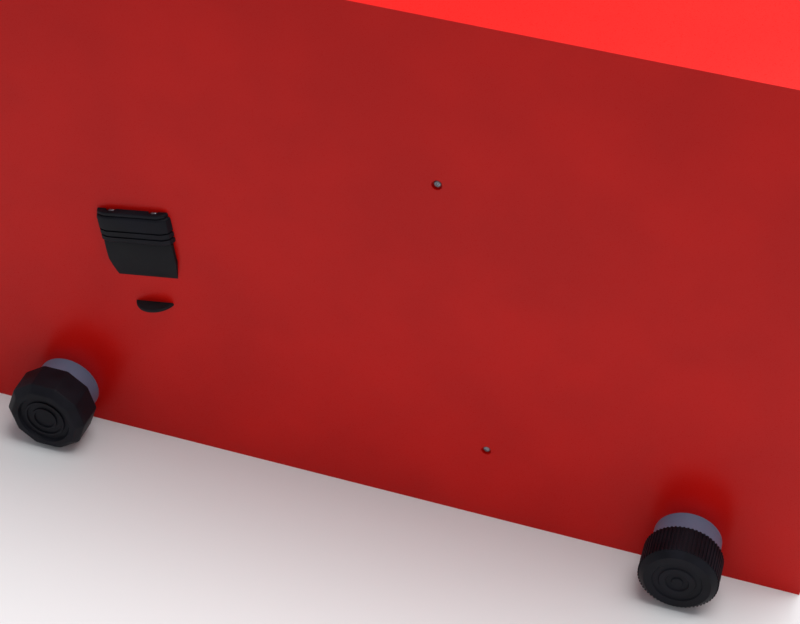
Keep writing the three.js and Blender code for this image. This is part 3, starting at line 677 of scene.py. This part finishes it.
def front_cap(name):
    across = CAP_R + CAP_RAISE
    r = across / math.cos(math.pi / 10)
    cap = turned(name, [(r - 1.6, CAP_IN), (r, CAP_IN + 1.6), (r, CAP_OUT - 6), (r - 6, CAP_OUT)], sides=10)
    with editing(cap):
        bpy.ops.mesh.select_all(action="SELECT")
        bpy.ops.transform.rotate(value=math.radians(18), orient_axis="Z", center_override=(0, 0, 0))
    softened(cap, 1.6, angle=20, segments=3)
    dish = turned("dish", [(24, CAP_OUT - 3), (26, CAP_OUT + 1)])
    combined(cap, dish, "DIFFERENCE")
    for outer in (20, 12.5):
        ring = turned("ring", [(outer - 3, CAP_OUT - 4), (outer, CAP_OUT - 4), (outer - 0.6, CAP_OUT - 1.6),
                               (outer - 2.4, CAP_OUT - 1.6), (outer - 3, CAP_OUT - 4)], ring=True)
        combined(cap, ring, "UNION")
    bore = turned("bore", [(TUBE_R + 0.3, CAP_IN - 2), (TUBE_R + 0.3, 248)])
    with editing(bore):
        bpy.ops.mesh.select_all(action="SELECT")
        bpy.ops.transform.translate(value=(0, CAP_RAISE * MM, 0))
    return combined(cap, bore, "DIFFERENCE")


# A quarter turn about X lays the cap's axis along +Y and its own +Y down; the bore is offset that way,
# and a tenth of half a turn brings a flat, not a corner, to the floor.
cap = front_cap("front_levelling_cap_left")
cap.matrix_world = (Matrix.Translation((FRONT_X * MM, 0, (TUBE_Z + CAP_RAISE) * MM))
                    @ Matrix.Rotation(math.radians(-90), 4, "X"))
applied(cap)
finish(mirrored(cap, "front_levelling_cap_right"), GRAINED, "levelling_cap_right", "black_plastic",
       "front_cap_right")
finish(cap, GRAINED, "levelling_cap_left", "black_plastic", "front_cap_left")

# %% [markdown]
# ## Seat tube, bushing and front post
# Both uprights are round tube, cut level at the foot where they stand on the beam. The seat tube ends in
# a black bushing with a fat glossy rim. The front post is open, with a cross hole for the bolt that
# holds the upper post.


# %% Uprights
def upright(name, mount, ring_r, outer, inner, top, rim_drop, direction):
    rim = on_axis(mount, ring_r, -rim_drop)
    rim.y = 0
    foot = -(rim.z - 20) / direction.z
    tube = turned(name,
                  [(inner, foot), (outer, foot), (outer, top - 0.5), (outer - 0.5, top), (inner + 0.5, top),
                         (inner, top - 0.5), (inner, foot)], ring=True)
    placed(tube, rim, direction)
    with editing(tube):
        bpy.ops.mesh.select_all(action="SELECT")
        bpy.ops.mesh.bisect(plane_co=(0, 0, 59.3 * MM), plane_no=(0, 0, 1), clear_inner=True, use_fill=True)
    return tube, rim


seat_tube, seat_rim = upright("seat_upright", "seat_post_rim", 24, 25, 23, -0.3, 11, SEAT_UP)
post, post_rim = upright("front_upright", "handlebar_post_rim", 26, 27, 25, 0, 0, POST_UP)
hole = primitive(bpy.ops.mesh.primitive_cylinder_add, "hole", vertices=48, radius=5 * MM, depth=0.12)
across = Vector((POST_UP.z, 0, -POST_UP.x))
placed(hole, post_rim - POST_UP * (396 - 363) / POST_UP.z, across)
combined(post, hole, "DIFFERENCE")
finish(post, POWDER, "frame", "blue_paint", "front_post")
finish(seat_tube, POWDER, "frame", "blue_paint", "seat_tube")

bushing = turned("bushing", [(19.3, -22), (22.7, -22), (22.7, 0.1), (30, 0.1), (31, 1), (31, 7), (30.4, 8.6),
                             (28.6, 10.2), (26, 11), (22, 11), (20.2, 10.4), (19.3, 9.2), (19.3, -22)],
                 ring=True)
placed(bushing, seat_rim, SEAT_UP)
finish(bushing, GLOSS_BLACK, "frame", "black_plastic", "seat_tube_bushing")

# %% [markdown]
# ## Seat lock
# A threaded boss is welded to the tube: round at its root, six-sided outside. The pull pin runs through
# it to a knob with six soft lobes, which a hand can pull with cold fingers. The lobes are made by
# scaling every other group of the rim's points inwards before the edges are rounded.

# %% Boss, pin and knob
KNOB_CENTRE = Vector(centre("selector_knob"))
AXIS_POINT = KNOB_CENTRE - KNOB_OUT * 59.5

boss = turned("pin_boss", [(13.6, 32.5), (15, 33.3), (15, 46.2), (13.6, 47)], sides=6)
root = turned("root", [(12.5, 15), (12.5, 34)])
weld = turned("weld", [(12, 22), (15.5, 23), (14.6, 27.2), (12.4, 28.4)])
combined(boss, root, "UNION")
combined(boss, weld, "UNION")
bore = turned("bore", [(7.8, 0), (7.8, 43), (4.6, 43.1), (4.6, 60)])
combined(boss, bore, "DIFFERENCE")
placed(boss, AXIS_POINT, KNOB_OUT)
tube_space = placed(turned("space", [(25.2, -150), (25.2, 150)]), seat_rim, SEAT_UP)
combined(boss, tube_space, "DIFFERENCE")
finish(boss, ZINC, "frame", "zinc", "knob_boss", angle=30)

pin = turned("pull_pin",
             [(3.2, 15), (4, 15.6), (5, 18.5), (5, 30), (7, 30), (7, 32), (4, 32), (4, 65.5), (3.5, 66)], 48)
placed(pin, AXIS_POINT, KNOB_OUT)
finish(pin, CHROME, "seat_pin", "chrome", "plunger_pin")

knob = turned("pull_knob",
              [(12, 50), (22, 50), (25.4, 53), (25.4, 66), (23, 69), (12, 69), (9, 67.8), (4.3, 67.8),
                            (4.3, 50), (12, 50)], sides=144, ring=True)
with editing(knob, "VERT"):
    for lobe in range(6):
        middle = (lobe + 0.5) * math.pi / 3

        def in_dip(v):
            off = (math.atan2(v.co.y, v.co.x) - middle + math.pi) % (2 * math.pi) - math.pi
            return abs(off) < 0.02 and v.co.xy.length > 20 * MM
        pick(knob, "verts", in_dip)
        bpy.ops.transform.resize(value=(0.87, 0.87, 1), center_override=(0, 0, 0), use_proportional_edit=True,
                                 proportional_edit_falloff="SMOOTH", proportional_size=9 * MM)
softened(knob, 1.2, angle=25)
placed(knob, AXIS_POINT, KNOB_OUT)
finish(knob, GLOSS_BLACK, "seat_knob", "black_plastic", "selector_knob")

# %% [markdown]
# ## Crank
# The whole crank is one 17 mm steel rod bent twice, so a curve with a round bevel is its natural model:
# the curve's straight stretches and bends are what the bending machine makes. An eye is forged at each
# end. The disc and the hexagonal nut sit where the rod enters the housing.

# %% Crank rod and eyes
ARM_Y, THROW = 99, 162
points = [(THROW, ARM_Y, 0), (0, ARM_Y, 0), (0, -ARM_Y, 0), (-THROW, -ARM_Y, 0)]
crank = swept("bent_crank", points, 8.5, 20)
for sign in (1, -1):
    eye = turned("eye", [(12.6, -10), (14, -8.6), (14, 8.6), (12.6, 10)], sides=64)
    placed(eye, (sign * THROW, sign * ARM_Y, 0), (0, 1, 0))
    combined(crank, eye, "UNION")
    hole = placed(turned("hole", [(7.3, -30), (7.3, 30)], 48), (sign * THROW, sign * ARM_Y, 0), (0, 1, 0))
    combined(crank, hole, "DIFFERENCE")
placed(crank, CRANK)
finish(crank, CHROME, "crank_set", "chrome", "crank")

# %% Hub discs, nuts and drive screws
for side, sign in SIDES:
    disc = turned(f"crank_disc_{side}",
                  [(8.8, 63), (31, 63), (35, 63.6), (36, 64.8), (36, 66.6), (35.4, 67.6),
                                         (32.4, 69.3), (31, 69.6), (8.8, 69.6), (8.8, 63)], sides=128,
                  ring=True)
    placed(disc, CRANK, (0, sign, 0))
    finish(disc, GLOSS_BLACK, "crank_set", "black_plastic", f"hub_disc_{side}")
    nut = turned(f"crank_nut_{side}", [(13.8, 69.9), (15.5, 70.6), (15.5, 76.8), (13.6, 78.5)], sides=6)
    softened(nut, 0.7, angle=30)
    combined(nut, turned("bore", [(8.8, 60), (8.8, 90)]), "DIFFERENCE")
    placed(nut, CRANK, (0, sign, 0))
    finish(nut, GLOSS_BLACK, "crank_set", "black_plastic", f"hub_nut_{side}", angle=30)
    screw = turned(f"disc_screw_{side}",
                   [(3, 69.4), (4.2, 69.8), (4.2, 72), (3.4, 73), (2, 73), (1.8, 71.4), (0.4, 71.4)], 48)
    placed(screw, CRANK + Vector((-8 * sign, 0, 19)), (0, sign, 0))
    finish(screw, ZINC, "crank_set", "zinc")

# %% [markdown]
# ## Pedals
# A pedal is a hollow block of black plastic with bowed sides, a flat tread screwed to it by four
# screws, and a rubber toe strap looped underneath. The block starts as a cube: its upright corners are
# chamfered, the middle of each long side is pulled out a little, and grooves are inset round it.


# %% Pedal bodies
PEDAL_IN, PEDAL_OUT, PEDAL_HALF, TREAD_TOP, PEDAL_LOW = 111, 208, 35, 12.5, -18
PEDAL_Y = (PEDAL_IN + PEDAL_OUT) / 2


def pedal_block(name, half_x, y0, y1, z0, z1, corner, bow):
    block = primitive(bpy.ops.mesh.primitive_cube_add, name, size=1,
                      location=(0, (y0 + y1) / 2 * MM, (z0 + z1) / 2 * MM),
                      scale=(2 * half_x * MM, (y1 - y0) * MM, (z1 - z0) * MM))
    applied(block)
    with editing(block, "EDGE"):
        bpy.ops.mesh.select_all(action="SELECT")
        bpy.ops.mesh.bisect(plane_co=(0, (y0 + y1) / 2 * MM, 0), plane_no=(0, 1, 0))
        pick(block, "edges", lambda e: abs((e.verts[0].co - e.verts[1].co).z) > 0.5 * (z1 - z0) * MM
             and abs(e.verts[0].co.y - (y0 + y1) / 2 * MM) > 10 * MM)
        bpy.ops.mesh.bevel(offset=corner * MM, segments=2, affect="EDGES")
    with editing(block, "VERT"):
        pick(block, "verts", lambda v: abs(v.co.y - (y0 + y1) / 2 * MM) < 1 * MM)
        bpy.ops.transform.resize(value=((half_x + bow) / half_x, 1, 1), center_override=(0, 0, 0))
    return block


def pedal_body(name):
    top = TREAD_TOP - 3.8
    body = pedal_block(name, PEDAL_HALF, PEDAL_IN, PEDAL_OUT, PEDAL_LOW, top, 9, 1.5)
    softened(body, 2.2, angle=50, segments=3)
    bore = placed(turned("bore", [(8.3, PEDAL_IN - 5), (8.3, PEDAL_OUT - 20)], 48), (0, 0, 0), (0, 1, 0))
    combined(body, bore, "DIFFERENCE")
    for z in (-12.5, -6.5):
        groove = pedal_block("groove", PEDAL_HALF + 6, PEDAL_IN - 6, PEDAL_OUT + 6, z, z + 1.6, 12, 1.5)
        core = pedal_block("core", PEDAL_HALF - 1.1, PEDAL_IN + 1.1, PEDAL_OUT - 1.1, z - 1, z + 3, 8.6, 1.5)
        combined(groove, core, "DIFFERENCE")
        combined(body, groove, "DIFFERENCE")
    return body


def pedal_tread(name):
    tread = pedal_block(name, PEDAL_HALF - 1, PEDAL_IN + 1, PEDAL_OUT - 1, TREAD_TOP - 3.5, TREAD_TOP, 9, 1.5)
    softened(tread, 1.0, angle=50, segments=3)
    for x in (-20, 20):
        for y in (-39, 39):
            recess = turned("recess", [(4.6, TREAD_TOP - 2.4), (5.2, TREAD_TOP + 1)], 32)
            combined(tread, placed(recess, (x, PEDAL_Y + y, 0)), "DIFFERENCE")
    return tread


def cross_screw(name, radius, rise):
    """A pan-head screw with a cross recess, its head's seat at the origin."""
    arc = [math.radians(d) for d in range(0, 80, 15)]
    head = turned(name, [(radius, 0), *[(radius * math.cos(a), 0.4 + rise * math.sin(a)) for a in arc]], 32)
    for turn in (0, 90):
        slot = primitive(bpy.ops.mesh.primitive_cube_add, "slot", size=1, location=(0, 0, (rise + 0.4) * MM),
                         rotation=(0, 0, math.radians(turn + 20)),
                         scale=(radius * 1.1 * MM, 0.22 * radius * MM, rise * 1.1 * MM))
        combined(head, applied(slot), "DIFFERENCE")
    return head


def pedal_screws(name):
    screws = []
    for x in (-20, 20):
        for y in (-39, 39):
            screws.append(placed(cross_screw("screw", 3.8, 1.6), (x, PEDAL_Y + y, TREAD_TOP - 2.4)))
    activate(screws[0])
    for screw in screws:
        screw.select_set(True)
    bpy.ops.object.join()
    bpy.context.object.name = name
    return bpy.context.object


# %% [markdown]
# The toe strap is a moulded rubber band: wide where it leaves the pedal and narrower underneath, with
# its loose end lying flat. Seen from the end it is a U, so it starts as a flat outline of that U, which
# is given the band's full width. A tapered block then keeps only what lies inside it, as a die would.


# %% Flat outlines
def outline(name, start, steps):
    """A closed flat curve: lines ("to", p), curves ("by", controls..., p), splines ("through", p, ...)."""
    knots = [[Vector(start), None, None]]

    def go(target, first, second):
        knots[-1][2] = first
        knots.append([target, second, None])

    for kind, *places in steps:
        places = [Vector(p) for p in places]
        here = knots[-1][0]
        if kind == "to":
            go(places[0], here.lerp(places[0], 1 / 3), here.lerp(places[0], 2 / 3))
        elif kind == "by" and len(places) == 3:
            go(places[2], places[0], places[1])
        elif kind == "by":
            go(places[1], here.lerp(places[0], 2 / 3), places[1].lerp(places[0], 2 / 3))
        else:
            line = [here, here, *places, places[-1]]
            for a, b, c, d in zip(line, line[1:], line[2:], line[3:]):
                go(c, b + (c - a) / 6, c - (d - b) / 6)
    first, last = knots[0], knots[-1]
    if (last[0] - first[0]).length < 0.01:
        first[1] = knots.pop()[1]
    else:
        last[2] = last[0].lerp(first[0], 1 / 3)
        first[1] = last[0].lerp(first[0], 2 / 3)
    bpy.ops.curve.primitive_bezier_curve_add()
    curve = bpy.context.object
    curve.name = name
    spline = curve.data.splines[0]
    spline.bezier_points.add(len(knots) - 2)
    spline.use_cyclic_u = True
    for point, (place, left, right) in zip(spline.bezier_points, knots):
        point.handle_left_type = point.handle_right_type = "FREE"
        point.co = (*place * MM, 0)
        point.handle_left = (*left * MM, 0)
        point.handle_right = (*right * MM, 0)
    curve.data.dimensions = "2D"
    curve.data.fill_mode = "BOTH"
    return curve


def thick(curve, half, resolution=12, rounding=0, offset=0, turn=0, rings=6):
    """Gives a flat curve thickness across Y with a rounded edge, as a closed mesh, then turns it about Z."""
    data = curve.data
    data.resolution_u = resolution
    data.extrude = (half - rounding) * MM
    data.bevel_depth = rounding * MM
    data.bevel_resolution = rings
    data.offset = offset * MM
    curve.rotation_euler = (math.pi / 2, 0, math.radians(turn))
    activate(curve)
    bpy.ops.object.convert(target="MESH")
    solid = applied(bpy.context.object)
    with editing(solid):
        bpy.ops.mesh.select_all(action="SELECT")
        bpy.ops.mesh.remove_doubles(threshold=1e-5)
        bpy.ops.mesh.normals_make_consistent(inside=False)
    return solid


# %% Toe strap
STRAP_LOW, STRAP_THICK, STRAP_TOP_HALF, STRAP_LOW_HALF = -88, 4, 32, 22
STRAP_TOP = PEDAL_LOW - 0.3


def strap_path(inset):
    """The U from its outer top end to its inner one, drawn the given distance inside the outer line."""
    inner, outer, low = PEDAL_IN + 4 + inset, PEDAL_OUT - 4 - inset, STRAP_LOW + inset
    return [(outer, STRAP_TOP), (outer + 4, STRAP_TOP - 34), (outer - 12, low), (PEDAL_Y + 8, low),
            (PEDAL_Y - 8, low), (inner + 12, low), (inner - 4, STRAP_TOP - 34), (inner, STRAP_TOP)]


def toe_strap(name):
    out, back = strap_path(0), strap_path(STRAP_THICK)[::-1]
    flat = outline(name, out[0], [("by", *out[1:4]), ("to", out[4]), ("by", *out[5:]), ("to", back[0]),
                                  ("by", *back[1:4]), ("to", back[4]), ("by", *back[5:])])
    band = thick(flat, STRAP_TOP_HALF, resolution=20, turn=90)
    wide, narrow, low, bend = STRAP_TOP_HALF, STRAP_LOW_HALF, STRAP_LOW - 1, STRAP_TOP - 20
    die = outline("die", (-wide, STRAP_TOP + 1),
                  [("to", (-wide, bend)), ("to", (-narrow, low)), ("to", (narrow, low)),
                                                  ("to", (wide, bend)), ("to", (wide, STRAP_TOP + 1))])
    die = thick(die, 60, resolution=1)
    with editing(die):
        bpy.ops.mesh.select_all(action="SELECT")
        bpy.ops.transform.translate(value=(0, PEDAL_Y * MM, 0))
    combined(band, die, "INTERSECT")
    return softened(band, 1.1, angle=50, segments=2)


def strap_tongue(name):
    tongue = primitive(bpy.ops.mesh.primitive_cylinder_add, name, vertices=64,
                       radius=(STRAP_LOW_HALF - 3) * MM, depth=3 * MM,
                       location=(0, (PEDAL_OUT - 14) * MM, (STRAP_LOW + 1.5) * MM))
    applied(tongue)
    with editing(tongue, "VERT"):
        pick(tongue, "verts", lambda v: v.co.y < (PEDAL_OUT - 14.5) * MM)
        bpy.ops.transform.translate(value=(0, -(PEDAL_OUT - 14 - PEDAL_Y) * MM + 8 * MM, 0))
    return softened(tongue, 0.9, angle=50, segments=2)


def on_pedal(obj, sign):
    """Puts a piece made level about the spindle on its pedal, tilted as the pedal rests."""
    piece = obj if sign > 0 else mirrored(obj, obj.name)
    if sign < 0:
        bpy.data.objects.remove(obj)
    piece.matrix_world = (Matrix.Translation((CRANK + Vector((sign * THROW, 0, 0))) * MM)
                          @ Matrix.Rotation(math.radians(sign * 10), 4, "Y"))
    return applied(piece)


for side, sign in SIDES:
    body = on_pedal(pedal_body(f"pedal_block_{side}"), sign)
    finish(body, GRAINED, f"pedal_{side}", "black_plastic", f"pedal_body_{side}")
    tread = on_pedal(pedal_tread(f"pedal_plate_{side}"), sign)
    finish(tread, GRAINED, f"pedal_{side}", "black_plastic", f"pedal_tread_{side}")
    screws = on_pedal(pedal_screws(f"pedal_screws_{side}"), sign)
    finish(screws, BLACKENED, f"pedal_{side}", "zinc")
    strap = combined(toe_strap(f"strap_{side}"), strap_tongue("tongue"), "UNION")
    finish(on_pedal(strap, sign), RUBBER, f"pedal_{side}", "black_rubber", f"toe_strap_{side}")
    spindle = turned(f"spindle_{side}", [(6, 90), (7, 91), (7, 109.3), (8, 109.4), (8, 185), (7, 186)], 48)
    spindle = on_pedal(placed(spindle, (0, 0, 0), (0, 1, 0)), sign)
    finish(spindle, ZINC, "crank_set", "zinc", f"pedal_spindle_{side}")

# %% [markdown]
# ## Housing covers
# The housing is drawn as its side outline: a flat curve, filled, with thickness and a round edge. The
# same outline a little smaller makes the hollow. The shell is then opened for the tubes and the crank,
# halved at the middle seam, and parted along two curves into the red cover and the grey ones. Cutting
# one shell keeps every neighbour flush. The left half is made, and mirrored for the right.


# %% Housing and parting outlines
COVER_HALF, COVER_WALL, COVER_ROUND, TAIL_ROUND, RECESS, SEAM = 62, 3, 14, 50, 2.5, 0.45


def housing_outline(name):
    return outline(name, (-112, 46.5), [
        ("through", (-134, 57), (-148, 80), (-160, 115), (-167.5, 168), (-165, 223), (-159, 255), (-151, 280),
         (-141, 302), (-127, 322), (-108, 340), (-84, 351), (-60, 358), (-38, 363), (0, 364.5), (43, 361),
         (81, 354), (123, 340), (164, 317), (200, 285), (222, 258), (232, 225), (233, 190), (229, 140),
         (221, 90)),
        ("by", (216, 62), (192, 61.5)),
        ("to", (85, 60.5)),
        ("by", (45, 60.5), (35, 46.5), (8, 46.5)),
    ])


def tail_outline(name):
    """The same rear edge on a far larger body, so that only the tail takes the larger rounding."""
    return outline(name, (-46, -1400), [
        ("to", (-165, 110)),
        ("through", (-167.5, 168), (-165, 223), (-159, 255), (-151, 280), (-141, 302), (-127, 322),
         (-108, 340),
         (-84, 354), (-40, 374)),
        ("to", (1400, 1022)), ("to", (1400, -1400)),
    ])


def front_region(name):
    return outline(name, (75, 420), [
        ("to", (75, 359)), ("by", (70, 345), (80, 328)), ("to", (184, 226)), ("by", (208, 203), (199, 175)),
        ("by", (186, 146), (133, 99)), ("by", (104, 76), (50, 57)), ("to", (50, -10)), ("to", (420, -10)),
        ("to", (420, 420)),
    ])


def rear_region(name):
    return outline(name, (-300, 304), [
        ("to", (-124, 304)), ("by", (-106, 290), (-80, 240), (-80, 185)), ("by", (-85, 130), (-124, 105)),
        ("by", (-132, 98), (-141, 104)), ("to", (-170, 122)), ("to", (-300, 122)),
    ])


def collar(inset):
    """The neck round the seat tube, which flares into the housing."""
    profile = [(56, -78), (49, -72), (44, -66), (40, -60), (37, -55), (34.8, -48), (33.5, -42), (32.6, -36),
               (32, -31), (31.3, -28.4), (30, -26.6), (28, -25.6)]
    seat_centre = seat_rim + SEAT_UP * ((374 - seat_rim.z) / SEAT_UP.z)
    return placed(turned("collar", [(r - inset, h - inset) for r, h in profile]), seat_centre, SEAT_UP)


def housing_body(name, inset):
    body = thick(housing_outline(name), COVER_HALF - inset, rounding=COVER_ROUND - inset, offset=-COVER_ROUND)
    tail = thick(tail_outline("tail"), COVER_HALF - inset + 0.05, rounding=TAIL_ROUND - inset,
                 offset=0.3 - TAIL_ROUND, rings=14)
    combined(body, tail, "INTERSECT")
    return combined(body, collar(inset), "UNION")


# %% Shell, openings and parting
def block(name, x, y, z):
    """A plain cutting block from three (low, high) spans."""
    cube = primitive(bpy.ops.mesh.primitive_cube_add, name, size=1,
                     location=[(a + b) / 2 * MM for a, b in (x, y, z)],
                     scale=[(b - a) * MM for a, b in (x, y, z)])
    return applied(cube)


def housing_shell(name, inset):
    shell = housing_body(name, inset)
    low = [min(v.co[i] for v in shell.data.vertices) / MM for i in range(3)]
    high = [max(v.co[i] for v in shell.data.vertices) / MM for i in range(3)]
    print(name, "spans", [round(v, 1) for v in low], [round(v, 1) for v in high])
    combined(shell, housing_body("hollow", inset + COVER_WALL), "DIFFERENCE")
    for rim, up, radius in ((seat_rim, SEAT_UP, 26.2), (post_rim, POST_UP, 28.2)):
        combined(shell, placed(turned("bore", [(radius, -420), (radius, 80)]), rim, up), "DIFFERENCE")
    combined(shell, block("beam_space", (-300, 300), (-36, 36), (0, 60)), "DIFFERENCE")
    combined(shell, block("beam_space", (-20, 205), (-36, 36), (0, 67)), "DIFFERENCE")
    hub = placed(turned("hub", [(20, -90), (20, 90)]), CRANK, (0, 1, 0))
    combined(shell, hub, "DIFFERENCE")
    return combined(shell, block("half", (-400, 400), (SEAM, 200), (-50, 500)), "INTERSECT")


def vent(x, z):
    slot = outline("vent", (x - 6, z + 2.3), [
        ("to", (x + 6, z + 2.3)), ("by", (x + 9, z + 2.3), (x + 9, z - 2.3), (x + 6, z - 2.3)),
        ("to", (x - 6, z - 2.3)), ("by", (x - 9, z - 2.3), (x - 9, z + 2.3), (x - 6, z + 2.3)),
    ])
    slot = thick(slot, 15, 6)
    with editing(slot):
        bpy.ops.mesh.select_all(action="SELECT")
        bpy.ops.transform.translate(value=(0, 60 * MM, 0))
    return slot


def surface(shell, x, z):
    """Where a line square to the side meets a shell, in millimetres, and which way the shell faces there."""
    found, place, facing, _ = shell.ray_cast((x * MM, 0.2, z * MM), (0, -1, 0))
    return place / MM, facing


def lip(x, z):
    """The ledge moulded under a vent, which throws water off and catches the light."""
    edge = outline("lip", (x - 7.5, z - 2.4), [("by", (x - 6, z - 4.6), (x + 6, z - 4.6), (x + 7.5, z - 2.4)),
                                               ("to", (x - 7.5, z - 2.4))])
    edge = thick(edge, 1.6, 8)
    with editing(edge):
        bpy.ops.mesh.select_all(action="SELECT")
        bpy.ops.transform.translate(value=(0, (surface(rear, x, z - 3)[0].y - 0.2) * MM, 0))
    return edge


def crest():
    """The raised line that runs from the red cover's nose up over the crank."""
    line = outline("crest", (190, 225), [
        ("through", (175, 233), (141, 249.5), (109, 265), (77, 283), (52, 301)),
        ("through", (77, 277), (109, 256.5), (141, 240), (175, 227.5), (190, 225)),
    ])
    line = thick(line, 1.9, 8, rounding=1.0, offset=-1.0)
    with editing(line):
        bpy.ops.mesh.select_all(action="SELECT")
        bpy.ops.transform.translate(value=(0, (COVER_HALF - 0.8) * MM, 0))
    return line


def crease():
    """A thin line moulded across the red cover's top, which follows its surface over the edge."""
    cutter = block("crease", (-0.35, 0.35), (0, 90), (325, 400))
    cutter.rotation_euler = (0, 0, math.radians(-13))
    cutter.location = (-19 * MM, 0, 0)
    applied(cutter)
    return combined(cutter, housing_body("core", 0.7), "DIFFERENCE")


main = housing_shell("main_shell_left", 0)
front = duplicated(main, "front_shell_left")
combined(front, thick(front_region("front_zone"), 100, offset=-0.3), "INTERSECT")
combined(main, thick(front_region("front_zone"), 100), "DIFFERENCE")
combined(main, thick(rear_region("rear_zone"), 100), "DIFFERENCE")
combined(main, crease(), "DIFFERENCE")
rear = housing_shell("rear_shell_left", RECESS)
combined(rear, thick(rear_region("rear_zone"), 100, offset=-0.3), "INTERSECT")
for x, z in ((-116, 249), (-121, 212), (-122, 175), (-117, 141)):
    combined(rear, vent(x, z), "DIFFERENCE")
    combined(rear, lip(x, z), "UNION")

# %% [markdown]
# Self-tapping screws sit in round sinks in the covers. Each sink is a turned cutter that goes in square
# to the side, and its screw's head lies at the bottom, so the sink reads as a dark ring round it.

# %% Sinks, screws and the finished covers
SCREWS = {
    "main_cover": [(-109, 80), (-46, 351)],
    "rear_cover": [(-135, 232)],
    "front_cover": [(152, 308), (212, 88)],
}
SHELLS = {"main_cover": (main, RED, "red_cover"), "front_cover": (front, GREY, "grey_cover"),
          "rear_cover": (rear, GREY, "grey_cover")}
ridge = crest()
finish(mirrored(ridge, "cover_crest_right"), RED, "frame", "red_cover")
ridge.name = "cover_crest_left"
finish(ridge, RED, "frame", "red_cover")
for cover_name, (shell, material, slot_name) in SHELLS.items():
    for number, (x, z) in enumerate(SCREWS[cover_name]):
        face, facing = surface(shell, x, z)
        print(cover_name, "screw", number, "at", [round(v, 1) for v in face])
        sink = placed(turned("sink", [(4.4, 0), (5, 12)], 48), face - facing * 2.4, facing)
        combined(shell, sink, "DIFFERENCE")
        screw = placed(cross_screw(f"{cover_name}_screw_{number}_left", 3.2, 1.3), face - facing * 2.5,
                       facing)
        finish(mirrored(screw, f"{cover_name}_screw_{number}_right"), BLACKENED, "frame", "zinc")
        finish(screw, BLACKENED, "frame", "zinc")
    other = mirrored(shell, shell.name.replace("left", "right"))
    for side, piece in (("left", shell), ("right", other)):
        finish(piece, material, "frame", slot_name, f"{cover_name}_{side}", angle=28, weighted=True)

# %% [markdown]
# ## Printed stripes
# The side carries a pale pad print. Three slanting stripes stand in for it, plain bars that mean
# nothing. Ink lies on the plastic, so each is a flat outline a tenth of a millimetre thick.

# %% Stripes on both sides
for number, (x0, x1, z) in enumerate(((112, -34, 160), (100, -46, 147), (88, -22, 134))):
    slant, height = 6, 7 - number
    bar = outline(f"stripe_{number}_left", (x0, z),
                  [("to", (x1, z - 8)), ("to", (x1 - slant, z - 8 - height)),
                                                     ("to", (x0 - slant, z - height)), ("to", (x0, z))])
    bar = thick(bar, 0.1, 1)
    with editing(bar):
        bpy.ops.mesh.select_all(action="SELECT")
        bpy.ops.transform.translate(value=(0, (COVER_HALF + 0.06) * MM, 0))
    finish(mirrored(bar, f"stripe_{number}_right"), PRINT, "frame", "red_cover")
    finish(bar, PRINT, "frame", "red_cover")

# %% [markdown]
# ## Floor and light
# The object stands on a plain pale floor under soft studio light: one large panel overhead and towards
# the front, which lights every upward face and leaves the upright sides darker, a weaker one by the
# camera, and a pale surrounding that chrome and gloss can reflect.


# %% Floor, lights and world
floor = primitive(bpy.ops.mesh.primitive_plane_add, "floor", size=12, location=(0, 0, -0.0005))
floor_material, tree = blank("pale_floor")
shader = node(tree, "ShaderNodeBsdfPrincipled", {"Base Color": linear(0xE4E4E4), "Roughness": 0.9})
node(tree, "ShaderNodeOutputMaterial", links=[("Surface", shader, "BSDF")])
floor.data.materials.append(floor_material)


def panel(name, place, aim, size, watts):
    light = bpy.data.lights.new(name, "AREA")
    light.shape = "RECTANGLE"
    light.size, light.size_y = size
    light.energy = watts
    lamp = bpy.data.objects.new(name, light)
    bpy.context.scene.collection.objects.link(lamp)
    lamp.location = place
    lamp.rotation_euler = (Vector(aim) - Vector(place)).to_track_quat("-Z", "Y").to_euler()


panel("overhead", (-0.4, -0.35, 2.3), (0, 0, 0.2), (2.0, 2.0), 88)
panel("fill", (-1.2, 2.2, 1.3), (0, 0, 0.2), (1.6, 1.2), 2.5)
world = bpy.data.worlds.new("studio")
bpy.context.scene.world = world
world.use_nodes = True
world.node_tree.nodes["Background"].inputs["Color"].default_value = (0.9, 0.93, 1.0, 1)
world.node_tree.nodes["Background"].inputs["Strength"].default_value = 0.36
bpy.context.scene.view_settings.view_transform = "Standard"
